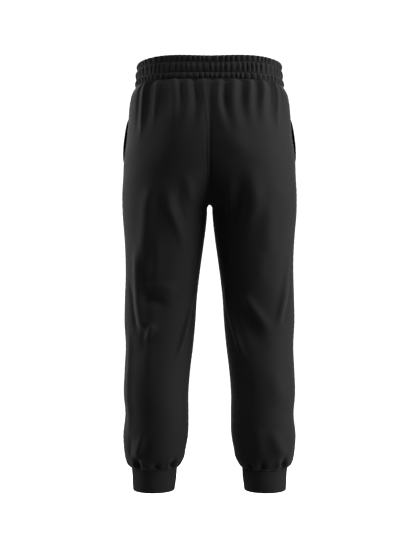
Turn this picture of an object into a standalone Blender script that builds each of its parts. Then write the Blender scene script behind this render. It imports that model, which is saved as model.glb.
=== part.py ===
"""Jogger sweatpants in the shape they have when worn, as the separate pieces of cloth that are cut and sewn.

Metres, +Z up. The front faces -Y and the wearer's left is +X. The origin is the middle of the ring of the
waistband, where the wearer's waist holds the garment.

Every leg piece is a panel: a wall of cloth over rings that run from the waist seam down to the cuff seam. On
a ring the angle is 0 at the outer seam, 90 in the middle of the front or back, and 180 at the inner seam.
Above the crotch a ring stops short of 180, at the middle seam of the seat or of the front.
"""

from collections import namedtuple

import bpy
import numpy as np

# Cloth and seams
CLOTH = 0.0020  # fleece of the legs
RIB = 0.0030  # two layers of rib knit in a cuff
BAND = 0.0028  # two layers of fleece with the elastic between them, drawn tight
BAG = 0.0010  # thin cloth of a pocket bag
SEAM_GAP = 0.0004  # between two pieces that are sewn together

# Heights of the main lines
BAND_TOP_Z = 0.0260
WAIST_SEAM_Z = -0.0275
WAIST_DIP = 0.0035  # how much lower the waistband lies at the sides
CROTCH_Z = -0.3125
CUFF_SEAM_Z = -0.9495
HEM_Z = -1.0038

# How late the middle seam turns under the crotch: a higher power turns later
BACK_RISE_POWER = 5.0
FRONT_RISE_POWER = 6.0
CROTCH_ROUND = 0.0070  # height over which the gap between the legs opens

# The shape of one leg by height. outer and inner: distance of the outer seam and of the inner seam from the
# middle plane. back and front: how far the cloth reaches behind and before the side line. side_y and seam_y:
# where those two seams lie, front to back. round: 1 is an ellipse, less is fuller at the corners.
Height = namedtuple("Height", "z outer inner back front side_y seam_y round")
SHAPE = (
    Height(-0.0275, 0.1764, 0.0062, 0.1215, 0.1135, 0.000, 0.000, 0.70),
    Height(-0.0310, 0.1768, 0.0062, 0.1240, 0.1158, 0.000, 0.000, 0.70),
    Height(-0.0370, 0.1795, 0.0062, 0.1285, 0.1195, 0.000, 0.000, 0.71),
    Height(-0.0480, 0.1848, 0.0062, 0.1335, 0.1228, 0.000, 0.000, 0.74),
    Height(-0.0640, 0.1890, 0.0062, 0.1385, 0.1260, 0.000, 0.000, 0.78),
    Height(-0.0900, 0.1932, 0.0062, 0.1440, 0.1285, 0.000, 0.000, 0.82),
    Height(-0.1150, 0.1960, 0.0062, 0.1480, 0.1298, 0.000, 0.000, 0.84),
    Height(-0.1450, 0.1994, 0.0062, 0.1512, 0.1300, 0.000, 0.000, 0.86),
    Height(-0.1750, 0.2032, 0.0062, 0.1525, 0.1293, 0.000, 0.000, 0.88),
    Height(-0.2080, 0.2064, 0.0062, 0.1515, 0.1278, 0.000, 0.000, 0.90),
    Height(-0.2480, 0.2086, 0.0062, 0.1462, 0.1250, 0.000, 0.000, 0.91),
    Height(-0.2800, 0.2105, 0.0062, 0.1392, 0.1222, 0.000, 0.000, 0.93),
    Height(-0.3125, 0.2108, 0.0062, 0.1300, 0.1192, 0.000, 0.000, 0.95),
    Height(-0.3350, 0.2101, 0.0076, 0.1228, 0.1172, 0.000, 0.000, 0.97),
    Height(-0.3650, 0.2078, 0.0102, 0.1140, 0.1145, 0.000, 0.000, 0.98),
    Height(-0.3940, 0.2055, 0.0137, 0.1068, 0.1118, 0.000, 0.000, 0.98),
    Height(-0.4350, 0.2033, 0.0194, 0.0975, 0.1078, -0.002, -0.002, 0.98),
    Height(-0.4850, 0.2030, 0.0262, 0.0880, 0.1020, -0.004, -0.004, 0.98),
    Height(-0.5400, 0.2047, 0.0326, 0.0795, 0.0940, -0.006, -0.006, 0.98),
    Height(-0.5980, 0.2057, 0.0360, 0.0745, 0.0860, -0.004, -0.004, 0.98),
    Height(-0.6570, 0.2026, 0.0416, 0.0780, 0.0780, 0.000, 0.000, 0.98),
    Height(-0.7150, 0.2053, 0.0477, 0.0850, 0.0700, 0.006, 0.006, 0.98),
    Height(-0.7740, 0.2066, 0.0530, 0.0885, 0.0640, 0.010, 0.010, 0.98),
    Height(-0.8180, 0.2029, 0.0536, 0.0870, 0.0600, 0.012, 0.012, 0.98),
    Height(-0.8750, 0.2079, 0.0551, 0.0840, 0.0580, 0.012, 0.012, 0.98),
    Height(-0.9050, 0.2059, 0.0596, 0.0800, 0.0560, 0.012, 0.012, 0.98),
    Height(-0.9250, 0.2032, 0.0635, 0.0755, 0.0530, 0.011, 0.011, 0.98),
    Height(-0.9400, 0.1980, 0.0705, 0.0700, 0.0500, 0.010, 0.010, 0.98),
    Height(-0.9495, 0.1898, 0.0780, 0.0640, 0.0450, 0.010, 0.010, 0.98),
)

# The rows of mesh from the waist seam to the cuff seam: the height of a row at the outer seam and at the
# middle or inner seam, and how many rows it is to the next line. They tilt where the crotch turns under.
Line = namedtuple("Line", "side_z seam_z rows")
LINES = (
    Line(-0.0310, -0.0275, 1),
    Line(-0.0365, -0.0330, 1),
    Line(-0.0475, -0.0450, 1),
    Line(-0.0650, -0.0640, 1),
    Line(-0.0900, -0.0900, 7),
    Line(-0.2160, -0.2290, 2),
    Line(-0.2540, -0.2760, 1),
    Line(-0.2710, -0.2920, 1),
    Line(-0.2870, -0.3030, 1),
    Line(-0.3030, -0.3100, 1),
    Line(-0.3180, -0.3125, 1),
    Line(-0.3320, -0.3150, 1),
    Line(-0.3460, -0.3230, 1),
    Line(-0.3640, -0.3440, 2),
    Line(-0.4130, -0.4100, 15),
    Line(-0.8600, -0.8600, 2),
    Line(-0.9000, -0.9000, 3),
    Line(-0.9380, -0.9380, 1),
    Line(-0.9495, -0.9495, 0),
)
PLEAT_LINE = 4  # down to this line a panel has twice the columns, for the gathers under the waistband
CROTCH_ROW = 17  # the row where the two legs part
BACK_COLUMNS = 14
FRONT_COLUMNS = 12

# Folds of the cloth, as soft ridges (height above 0) and troughs (below 0). Each runs from (z0, angle0) to
# (z1, angle1), is about two widths wide, and rises over the share fade0 of its length and dies over fade1.
Fold = namedtuple("Fold", "z0 angle0 z1 angle1 width height fade0 fade1")
BACK_GATHERS = (
    Fold(-0.0275, 85, -0.135, 88, 0.0070, 0.0040, 0.02, 0.85),
    Fold(-0.0275, 77, -0.115, 81, 0.0080, 0.0048, 0.02, 0.85),
    Fold(-0.0275, 66, -0.108, 70, 0.0095, 0.0046, 0.02, 0.85),
    Fold(-0.0275, 50, -0.122, 56, 0.0110, 0.0050, 0.02, 0.85),
    Fold(-0.0275, 30, -0.145, 32, 0.0080, 0.0055, 0.02, 0.85),
    Fold(-0.0275, 13, -0.110, 15, 0.0090, 0.0045, 0.02, 0.85),
)
FRONT_GATHERS = (
    Fold(-0.0275, 83, -0.115, 84, 0.0085, 0.0050, 0.02, 0.85),
    Fold(-0.0275, 71, -0.130, 70, 0.0090, 0.0052, 0.02, 0.85),
    Fold(-0.0275, 58, -0.105, 57, 0.0085, 0.0046, 0.02, 0.85),
    Fold(-0.0275, 44, -0.125, 45, 0.0100, 0.0052, 0.02, 0.85),
    Fold(-0.0275, 28, -0.100, 29, 0.0090, 0.0046, 0.02, 0.85),
    Fold(-0.0275, 13, -0.085, 14, 0.0085, 0.0035, 0.02, 0.85),
)
BACK_FOLDS = (
    # Drag lines from the seat towards the inside of the knee
    Fold(-0.230, 79, -0.420, 137, 0.0130, 0.0055, 0.35, 0.50),
    Fold(-0.245, 92, -0.355, 134, 0.0120, -0.0050, 0.40, 0.40),
    Fold(-0.255, 75, -0.430, 82, 0.0200, -0.0035, 0.40, 0.40),
    Fold(-0.240, 54, -0.410, 58, 0.0180, 0.0030, 0.40, 0.40),
    # Outer side above the knee, and the fork below it
    Fold(-0.410, 31, -0.612, 61, 0.0100, 0.0070, 0.45, 0.15),
    Fold(-0.600, 76, -0.668, 51, 0.0100, 0.0065, 0.25, 0.40),
    # Behind the knee
    Fold(-0.532, 48, -0.536, 112, 0.0120, -0.0065, 0.30, 0.35),
    Fold(-0.515, 132, -0.600, 84, 0.0130, 0.0050, 0.30, 0.50),
    Fold(-0.600, 97, -0.680, 79, 0.0120, -0.0040, 0.40, 0.40),
    # Inner side at the knee
    Fold(-0.575, 158, -0.715, 122, 0.0090, 0.0055, 0.30, 0.50),
    Fold(-0.480, 150, -0.570, 115, 0.0120, 0.0030, 0.40, 0.40),
    # Calf
    Fold(-0.840, 68, -0.928, 39, 0.0100, 0.0045, 0.50, 0.30),
    Fold(-0.690, 48, -0.830, 62, 0.0180, -0.0030, 0.40, 0.45),
)
FRONT_FOLDS = (
    Fold(-0.270, 150, -0.400, 100, 0.0150, 0.0055, 0.30, 0.50),
    Fold(-0.290, 126, -0.360, 76, 0.0140, -0.0045, 0.35, 0.45),
    Fold(-0.420, 24, -0.600, 48, 0.0120, 0.0055, 0.45, 0.30),
    Fold(-0.560, 60, -0.575, 112, 0.0160, -0.0050, 0.40, 0.40),
    Fold(-0.620, 56, -0.650, 120, 0.0180, 0.0050, 0.35, 0.45),
    Fold(-0.640, 146, -0.760, 112, 0.0110, 0.0050, 0.35, 0.45),
    Fold(-0.800, 60, -0.900, 84, 0.0140, 0.0045, 0.45, 0.35),
)
# Tucks where a leg is gathered into its cuff
Tuck = namedtuple("Tuck", "angle reach width depth")
BACK_TUCKS = (
    Tuck(22, 0.022, 0.0060, 0.0045),
    Tuck(52, 0.030, 0.0070, 0.0070),
    Tuck(94, 0.027, 0.0075, 0.0075),
    Tuck(135, 0.030, 0.0070, 0.0065),
    Tuck(162, 0.020, 0.0060, 0.0040),
)
FRONT_TUCKS = (
    Tuck(30, 0.028, 0.0070, 0.0060),
    Tuck(66, 0.024, 0.0070, 0.0065),
    Tuck(104, 0.030, 0.0075, 0.0070),
    Tuck(144, 0.026, 0.0065, 0.0055),
)

# Side pockets: the mouth is in the outer seam, and its front edge stands away from the seat panel
MOUTH_TOP_Z = -0.1030
MOUTH_END_Z = -0.2130
MOUTH_OUT = 0.0066
MOUTH_FORWARD = 0.0140
MOUTH_REACH = 26.0  # degrees of the front ring that the open edge lifts
POCKET_COLUMNS = 7
POCKET_FIRST_ROW = 4
POCKET_LAST_ROW = 14
POCKET_DEPTH = 0.0200
POCKET_FLAT = 0.0012  # how far the bag's sewn edge stays behind the panel
POCKET_REAR_Y = -0.0002  # the plane of its rear strip, just before the seat piece's edge

# The waistband: a ring of three gathered rows, stitched through at the two lines between them. width, back
# and front: the ring at the foot of the gathers. roll and gather: how far the cloth rolls out there, and how
# far the gathers wave in and out. inner: whether the inner face has a row of its own there.
GATHERS = 78
Band = namedtuple("Band", "z width back front roll gather inner")
BAND_ROWS = (
    Band(BAND_TOP_Z, 0.1702, 0.1166, 0.1088, -0.0004, 0.0005, True),
    Band(0.0222, 0.1704, 0.1174, 0.1096, 0.0010, 0.0009, False),
    Band(0.0165, 0.1708, 0.1180, 0.1102, 0.0012, 0.0010, False),
    Band(0.0112, 0.1726, 0.1186, 0.1107, -0.0010, 0.0005, True),
    Band(0.0045, 0.1738, 0.1192, 0.1113, 0.0024, 0.0011, True),
    Band(-0.0060, 0.1750, 0.1200, 0.1121, 0.0014, 0.0010, False),
    Band(-0.0120, 0.1755, 0.1204, 0.1125, -0.0010, 0.0005, True),
    Band(-0.0172, 0.1762, 0.1208, 0.1129, 0.0013, 0.0010, False),
    Band(-0.0230, 0.1766, 0.1213, 0.1133, 0.0014, 0.0009, False),
    Band(-0.0271, 0.1768, 0.1213, 0.1133, 0.0000, 0.0004, True),
)

# The cuffs: outer, inner, back and front mean what they mean in the table of shape
CUFF_COLUMNS = 32
Cuff = namedtuple("Cuff", "z outer inner back front")
CUFF_ROWS = (
    Cuff(-0.9499, 0.1893, 0.0785, 0.0638, 0.0448),
    Cuff(-0.9560, 0.1876, 0.0795, 0.0640, 0.0450),
    Cuff(-0.9700, 0.1862, 0.0805, 0.0642, 0.0450),
    Cuff(-0.9860, 0.1858, 0.0825, 0.0640, 0.0448),
    Cuff(HEM_Z, 0.1852, 0.0843, 0.0636, 0.0446),
)
CUFF_Y = 0.010
CUFF_ROUND = 0.98

WAIST_STILL = 0.0070  # height below the waist seam in which the gathers rise
SEAM_STILL = 5.0  # degrees of the ring beside each seam in which the folds die away
TURN_STEP = 2e-3  # radians round a ring, for reading the slope of a panel
DROP_STEP = 1e-4  # metres down a panel, for the same


def column(name, z):
    """One column of the table of shape at heights z: a smooth curve that passes through every value."""
    knots = -np.array([row.z for row in SHAPE])
    values = np.array([getattr(row, name) for row in SHAPE])
    gaps = np.diff(knots)
    slopes = np.diff(values) / gaps
    inside = (gaps[1:] * slopes[:-1] + gaps[:-1] * slopes[1:]) / (gaps[:-1] + gaps[1:])
    tangents = np.concatenate([slopes[:1], inside, slopes[-1:]])
    at = np.clip(-np.asarray(z, float), knots[0], knots[-1])
    i = np.clip(np.searchsorted(knots, at, side="right") - 1, 0, len(gaps) - 1)
    f = (at - knots[i]) / gaps[i]
    bend0 = tangents[i] * gaps[i] * f * (1 - f) ** 2
    bend1 = tangents[i + 1] * gaps[i] * f * f * (1 - f)
    return values[i] + (values[i + 1] - values[i]) * smooth(f) + bend0 - bend1


def smooth(x):
    """0 below 0, 1 above 1, and a soft step between."""
    x = np.clip(x, 0.0, 1.0)
    return x * x * (3 - 2 * x)


def ring_end(z, power):
    """The angle, in radians, at which the level ring at z meets the middle seam: pi below the crotch."""
    drop = np.clip((WAIST_SEAM_Z - z) / (WAIST_SEAM_Z - CROTCH_Z), 0.0, 1.0)
    rise = np.sqrt(1 - drop**power)
    return np.pi - np.arcsin(np.clip(rise ** (1 / column("round", z)), 0.0, 1.0))


def fold_height(fold, angle, z, radius):
    """Height of one fold at a ring angle in degrees and a height, laid out flat by the ring's radius."""
    x, x0, x1 = (np.radians(a) * radius for a in (angle, fold.angle0, fold.angle1))
    run_x, run_z = x1 - x0, fold.z1 - fold.z0
    along = np.clip(((x - x0) * run_x + (z - fold.z0) * run_z) / (run_x**2 + run_z**2), 0.0, 1.0)
    across = np.hypot(x - x0 - along * run_x, z - fold.z0 - along * run_z)
    ends = smooth(along / fold.fade0) * smooth((1 - along) / fold.fade1)
    return fold.height * ends * np.exp(-((across / fold.width) ** 2))


def tuck_depth(tuck, angle, z, radius):
    """Depth of one tuck: a trough that starts at the cuff seam and closes upwards."""
    up = (z - CUFF_SEAM_Z) / tuck.reach
    across = np.radians(angle - tuck.angle) * radius / (tuck.width * (1 + 0.5 * np.clip(up, 0.0, 1.0)))
    return tuck.depth * np.exp(-(across**2)) * smooth(up / 0.25) * smooth((1 - up) / 0.8)


def row_lines():
    """The height of every row of mesh at the outer seam and at the middle or inner seam."""
    rows = []
    for line, below in zip(LINES, LINES[1:]):
        for step in range(line.rows):
            f = step / line.rows
            side_z = line.side_z + (below.side_z - line.side_z) * f
            seam_z = line.seam_z + (below.seam_z - line.seam_z) * f
            rows.append((side_z, seam_z))
    return rows + [(LINES[-1].side_z, LINES[-1].seam_z)]


def row_heights(side_z, seam_z, share):
    """Heights along a row: share runs from 0 at the outer seam to 1 at the middle or inner seam."""
    return side_z + (seam_z - side_z) * np.sin(np.pi / 2 * share) ** 2


class Panel:
    """One of the four leg pieces: side is 1 for the wearer's left and -1 for the right."""

    def __init__(self, face, side):
        self.back = face == "back"
        self.side = side
        self.toward = 1 if self.back else -1
        self.columns = BACK_COLUMNS if self.back else FRONT_COLUMNS
        self.power = BACK_RISE_POWER if self.back else FRONT_RISE_POWER
        self.folds = BACK_GATHERS + BACK_FOLDS if self.back else FRONT_GATHERS + FRONT_FOLDS
        self.tucks = BACK_TUCKS if self.back else FRONT_TUCKS

    def bare(self, angle, z):
        """Points of the panel with no folds, and the radius of the ring there. angle is in radians."""
        roundness = column("round", z)
        open_gap = np.sqrt(np.clip((CROTCH_Z - z) / CROTCH_ROUND, 0.0, 1.0))
        outer, inner = column("outer", z), column("inner", z) * open_gap
        reach = np.abs(np.cos(ring_end(z, self.power))) ** roundness
        half = (outer - inner) / (1 + reach)
        x = outer - half + half * np.sign(np.cos(angle)) * np.abs(np.cos(angle)) ** roundness
        side_y, seam_y = column("side_y", z), column("seam_y", z)
        bulge = column("back" if self.back else "front", z) - self.toward * (side_y + seam_y) / 2
        line = side_y + (seam_y - side_y) * (1 - np.cos(angle)) / 2
        y = line + self.toward * bulge * np.abs(np.sin(angle)) ** roundness
        return np.stack([x, y, z], -1), (half + bulge) / 2

    def creased(self, angle, z):
        """Points of the panel with its folds and tucks, and with the pocket's mouth closed."""
        points, radius = self.bare(angle, z)
        degrees = np.degrees(angle)
        height = sum(fold_height(fold, degrees, z, radius) for fold in self.folds)
        height = height - sum(tuck_depth(tuck, degrees, z, radius) for tuck in self.tucks)
        to_seam = np.minimum(degrees, np.degrees(ring_end(z, self.power)) - degrees)
        below_waist = WAIST_SEAM_Z - WAIST_DIP * np.cos(np.minimum(angle, np.pi / 2)) ** 2 - z
        height = height * smooth(to_seam / SEAM_STILL) * smooth(below_waist / WAIST_STILL)
        return points + self.normal(angle, z, lambda a, h: self.bare(a, h)[0]) * height[..., None]

    def surface(self, angle, z):
        """The outer face of the panel: the front edge of a pocket's mouth stands away from the seat piece."""
        points = self.creased(angle, z)
        if self.back:
            return points
        down = np.clip((MOUTH_TOP_Z - z) / (MOUTH_TOP_Z - MOUTH_END_Z), 0.0, 1.0)
        lift = np.sin(np.pi * down**0.85) ** 0.8 * smooth(1 - np.degrees(angle) / MOUTH_REACH)
        return points + lift[..., None] * np.array([MOUTH_OUT, -MOUTH_FORWARD, 0.0])

    def normal(self, angle, z, read):
        """Outward normals of the surface that read(angle, z) gives, from its slopes both ways."""
        high, low = np.minimum(z + DROP_STEP, WAIST_SEAM_Z), np.maximum(z - DROP_STEP, CUFF_SEAM_Z)
        down = read(angle, low) - read(angle, high)
        ahead = read(np.minimum(angle + TURN_STEP, np.pi), z) - read(np.maximum(angle - TURN_STEP, 0.0), z)
        n = np.cross(ahead, down) * -self.toward
        return n / np.linalg.norm(n, axis=-1, keepdims=True)

    def wall(self):
        """Outer and inner points of the cloth, row by row from the top."""
        outer, inner = [], []
        for row, (side_z, seam_z) in enumerate(row_lines()):
            share = np.linspace(0.0, 1.0, (2 if row <= PLEAT_LINE else 1) * self.columns + 1)
            z = row_heights(side_z, seam_z, share)
            angle = ring_end(z, self.power) * share
            n = self.normal(angle, z, self.surface)
            n[0, 1] = 0.0  # the cut edges of the cloth stay in the planes of the seams
            n[-1, 1] = n[-1, 1] if row < CROTCH_ROW else 0.0
            n[-1, 0] = n[-1, 0] if row > CROTCH_ROW else 0.0
            n[:, 2] = n[:, 2] if 0 < row < len(row_lines()) - 1 else 0.0
            n /= np.linalg.norm(n, axis=-1, keepdims=True)
            skin = self.surface(angle, z)
            skin[0, 1] += self.toward * SEAM_GAP / 2
            skin[-1, 1] += self.toward * SEAM_GAP / 2 if row >= CROTCH_ROW else 0.0
            skin[-1, 0] += SEAM_GAP / 2 if row <= CROTCH_ROW else 0.0
            outer.append(self.mirrored(skin))
            inner.append(self.mirrored(skin - CLOTH * n))
        return outer, inner

    def mirrored(self, points):
        """The points on this panel's own side."""
        return points * np.array([self.side, 1.0, 1.0])


def strip_faces(upper, lower):
    """Triangles between two rows of point numbers. One row may have twice the spaces of the other."""
    if len(upper) < len(lower):
        return [tuple(reversed(face)) for face in strip_faces(lower, upper)]
    faces = []
    if len(upper) == len(lower):
        for i in range(len(lower) - 1):
            faces += [(upper[i], lower[i], lower[i + 1]), (upper[i], lower[i + 1], upper[i + 1])]
        return faces
    for i in range(len(lower) - 1):
        a, b, c = upper[2 * i : 2 * i + 3]
        faces += [(a, lower[i], b), (b, lower[i], lower[i + 1]), (b, lower[i + 1], c)]
    return faces


def make_object(name, points, faces, material, flip=False):
    """A smooth-shaded mesh object. flip turns the faces round, for a mirrored piece."""
    mesh = bpy.data.meshes.new(name)
    mesh.from_pydata([tuple(p) for p in points], [], [tuple(reversed(f)) for f in faces] if flip else faces)
    mesh.validate()
    mesh.shade_smooth()
    mesh.set_sharp_from_angle(angle=np.radians(50))
    mesh.materials.append(material)
    obj = bpy.data.objects.new(name, mesh)
    bpy.context.scene.collection.objects.link(obj)
    return obj


def make_wall(name, outer, inner, material, closed, flip=False):
    """A closed wall between two sets of rows. closed: the rows are rings, with no ends at the sides."""
    points, numbered = [], []
    for rows in (outer, inner):
        numbered.append([])
        for row in rows:
            ids = list(range(len(points), len(points) + len(row)))
            points.extend(row)
            numbered[-1].append(ids + ids[:1] if closed else ids)
    out, ins = numbered
    faces = []
    for upper, lower in zip(out, out[1:]):
        faces += strip_faces(upper, lower)
    for upper, lower in zip(ins, ins[1:]):
        faces += [tuple(reversed(face)) for face in strip_faces(upper, lower)]
    faces += strip_faces(ins[0], out[0]) + strip_faces(out[-1], ins[-1])
    if not closed:
        faces += rim_faces([row[0] for row in ins], [row[0] for row in out])
        faces += rim_faces([row[-1] for row in out], [row[-1] for row in ins])
    return make_object(name, points, faces, material, flip)


def rim_faces(left, right):
    """Faces along a side edge, between two columns of point numbers."""
    return [(left[i], left[i + 1], right[i + 1], right[i]) for i in range(len(left) - 1)]


def make_panel(face, side, material):
    """One leg piece, from the waist seam to the cuff seam."""
    panel = Panel(face, side)
    outer, inner = panel.wall()
    name = f"{face}_{'left' if side > 0 else 'right'}"
    return make_wall(name, outer, inner, material, closed=False, flip=side * panel.toward < 0)


def make_pocket(side, material):
    """A pocket bag: cloth sewn behind the front piece, made from that piece's points moved inwards.

    It lies flat on the piece along its top, bottom and front edges and stands off it between them. Its rear
    strip runs from the outer seam, where it is sewn to the seat piece, straight inwards.
    """
    panel = Panel("front", side)
    rows = row_lines()[POCKET_FIRST_ROW : POCKET_LAST_ROW + 1]
    share = np.arange(POCKET_COLUMNS + 1) / FRONT_COLUMNS
    forward = share / share[-1]
    outer, inner = [], []
    for i, (side_z, seam_z) in enumerate(rows):
        z = row_heights(side_z, seam_z, share)
        angle = ring_end(z, panel.power) * share
        skin = panel.creased(angle, z)
        normal = panel.normal(angle, z, panel.creased)
        swell = np.sin(np.pi * i / (len(rows) - 1)) ** 0.7 * np.sin(np.pi * (0.12 + 0.88 * forward)) ** 0.8
        behind = CLOTH + POCKET_FLAT + POCKET_DEPTH * swell
        normal[0, 1] = 0.0
        faces = ((outer, behind, POCKET_REAR_Y - BAG), (inner, behind + BAG, POCKET_REAR_Y))
        for wall, depth, rear_y in faces:
            points = skin - normal * depth[:, None]
            sewn = skin[:1] - normal[:1] * (CLOTH + POCKET_FLAT / 2)
            points = np.concatenate([sewn, points])
            points[:2, 1] = rear_y
            wall.append(panel.mirrored(points))
    name = f"pocket_bag_{'left' if side > 0 else 'right'}"
    return make_wall(name, outer, inner, material, closed=False, flip=side * panel.toward < 0)


def oval(turn, width, back, front, roundness):
    """Points of a level ring about the origin: turn in radians, 0 at +X and a quarter at the back."""
    c, s = np.cos(turn), np.sin(turn)
    x = width * np.sign(c) * np.abs(c) ** roundness
    y = np.where(s > 0, back, front) * np.sign(s) * np.abs(s) ** roundness
    return x, y


def even_turns(count, width, back, front, roundness):
    """Turns, in radians, that part a level ring into count equal lengths."""
    fine = np.linspace(0.0, 2 * np.pi, 40 * count + 1)
    x, y = oval(fine, width, back, front, roundness)
    along = np.concatenate([[0.0], np.cumsum(np.hypot(np.diff(x), np.diff(y)))])
    return np.interp(np.arange(count) / count * along[-1], along, fine)


def make_waistband(material):
    """The waistband: rolls between its stitched lines, and a gather for every second column."""
    roundness = SHAPE[0].round
    columns = 2 * GATHERS
    turn = even_turns(columns, SHAPE[0].outer, SHAPE[0].back, SHAPE[0].front, roundness)
    wave = np.where(np.arange(columns) % 2, 1.0, -1.0)
    uneven = 1 + 0.30 * np.sin(7 * turn) + 0.20 * np.sin(17 * turn + 1)
    outer, inner = [], []
    for row in BAND_ROWS:
        x, y = oval(turn, row.width, row.back, row.front, roundness)
        away = np.stack([x / row.width**2, y / row.back**2], -1)
        away /= np.linalg.norm(away, axis=-1, keepdims=True)
        foot = np.stack([x, y, row.z - WAIST_DIP * np.cos(turn) ** 2], -1)
        away = np.concatenate([away, np.zeros((columns, 1))], -1)
        out = row.roll + row.gather * wave * uneven
        outer.append(foot + away * out[:, None])
        if row.inner:
            inner.append((foot + away * (row.roll - BAND))[::2])
    return make_wall("waistband", outer, inner, material, closed=True, flip=False)


def make_cuff(side, material):
    """A cuff: a short tube of rib knit, doubled over at the hem."""
    turn = 2 * np.pi * np.arange(CUFF_COLUMNS) / CUFF_COLUMNS
    outer, inner = [], []
    for row in CUFF_ROWS:
        middle, half = (row.outer + row.inner) / 2, (row.outer - row.inner) / 2
        for rows, depth in ((outer, 0.0), (inner, RIB)):
            if rows is inner and row not in (CUFF_ROWS[0], CUFF_ROWS[2], CUFF_ROWS[-1]):
                continue
            back, front = row.back - CUFF_Y - depth, row.front + CUFF_Y - depth
            x, y = oval(turn, half - depth, back, front, CUFF_ROUND)
            rows.append(np.stack([side * (middle + x), CUFF_Y + y, np.full_like(x, row.z)], -1))
    name = f"cuff_{'left' if side > 0 else 'right'}"
    return make_wall(name, outer, inner, material, closed=True, flip=side < 0)


def cloth_material(name, colour, roughness):
    """A plain matt cloth."""
    material = bpy.data.materials.new(name)
    material.use_nodes = True
    shader = material.node_tree.nodes["Principled BSDF"]
    shader.inputs["Base Color"].default_value = (*colour, 1.0)
    shader.inputs["Roughness"].default_value = roughness
    shader.inputs["Metallic"].default_value = 0.0
    return material


def main():
    for obj in list(bpy.data.objects):
        bpy.data.objects.remove(obj)
    fleece = cloth_material("black_fleece", (0.020, 0.020, 0.020), 0.85)
    gathered = cloth_material("black_waistband_fleece", (0.021, 0.021, 0.021), 0.85)
    rib = cloth_material("black_rib_knit", (0.018, 0.018, 0.018), 0.90)
    lining = cloth_material("black_pocket_cloth", (0.010, 0.010, 0.010), 0.95)
    make_waistband(gathered)
    for side in (1, -1):
        for face in ("back", "front"):
            make_panel(face, side, fleece)
        make_pocket(side, lining)
        make_cuff(side, rib)


main()
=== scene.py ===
"""Jogger sweatpants as cloth: fleece legs, gathered waistband, side pockets, rib cuffs and their sewing.

Metres, +Z up. The front faces -Y and the wearer's left is +X. The origin is the middle of the waistband's
ring. On a leg piece the ring angle is 0 at the outer seam, 90 in the middle of the front or back, and 180 at
the inner seam; above the crotch a ring stops short of 180, at the middle seam.
"""

from collections import namedtuple

import bpy
import numpy as np
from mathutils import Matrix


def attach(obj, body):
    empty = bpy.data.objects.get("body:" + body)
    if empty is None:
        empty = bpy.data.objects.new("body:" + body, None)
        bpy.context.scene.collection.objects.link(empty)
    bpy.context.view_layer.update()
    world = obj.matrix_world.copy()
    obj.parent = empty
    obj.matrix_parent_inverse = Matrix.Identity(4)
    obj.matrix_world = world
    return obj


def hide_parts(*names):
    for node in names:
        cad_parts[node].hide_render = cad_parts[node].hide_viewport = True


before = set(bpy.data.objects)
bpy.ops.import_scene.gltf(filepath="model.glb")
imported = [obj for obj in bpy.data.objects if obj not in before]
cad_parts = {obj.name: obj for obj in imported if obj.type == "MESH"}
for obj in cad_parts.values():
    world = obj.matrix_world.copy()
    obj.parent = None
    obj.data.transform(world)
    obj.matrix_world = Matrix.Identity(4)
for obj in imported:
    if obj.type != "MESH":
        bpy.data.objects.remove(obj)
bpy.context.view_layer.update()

bl_info = {
    "name": "Jogger Sweatpants",
    "version": (1, 0, 0),
    "blender": (4, 5, 0),
    "location": "3D View > Sidebar > Joggers",
    "description": "Makes jogger sweatpants: leg panels, waistband, pockets, cuffs and stitching",
    "category": "Add Mesh",
}

# Seams
SEAM_GAP = 0.0004  # between the faces of two pieces that are sewn together
SEAM_TURNED = 0.0005  # how far their turned-in edges reach past each other under the seam
WAIST_SEAM_Z = -0.0275
WAIST_DIP = 0.0035  # how much lower the waistband lies at the sides
CROTCH_Z = -0.3125
CUFF_SEAM_Z = -0.9495
BACK_RISE_POWER = 5.0  # how late the middle seam turns under the crotch
FRONT_RISE_POWER = 6.0
CROTCH_ROUND = 0.0070  # height over which the gap between the legs opens


def table(kind, unscaled, *rows):
    """Rows of numbers as named tuples. All fields are lengths written in millimetres, but for the names in
    unscaled."""
    return tuple(
        kind(*(v if name in unscaled.split() else round(v / 1000, 4) for name, v in zip(kind._fields, row)))
        for row in rows
    )


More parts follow.
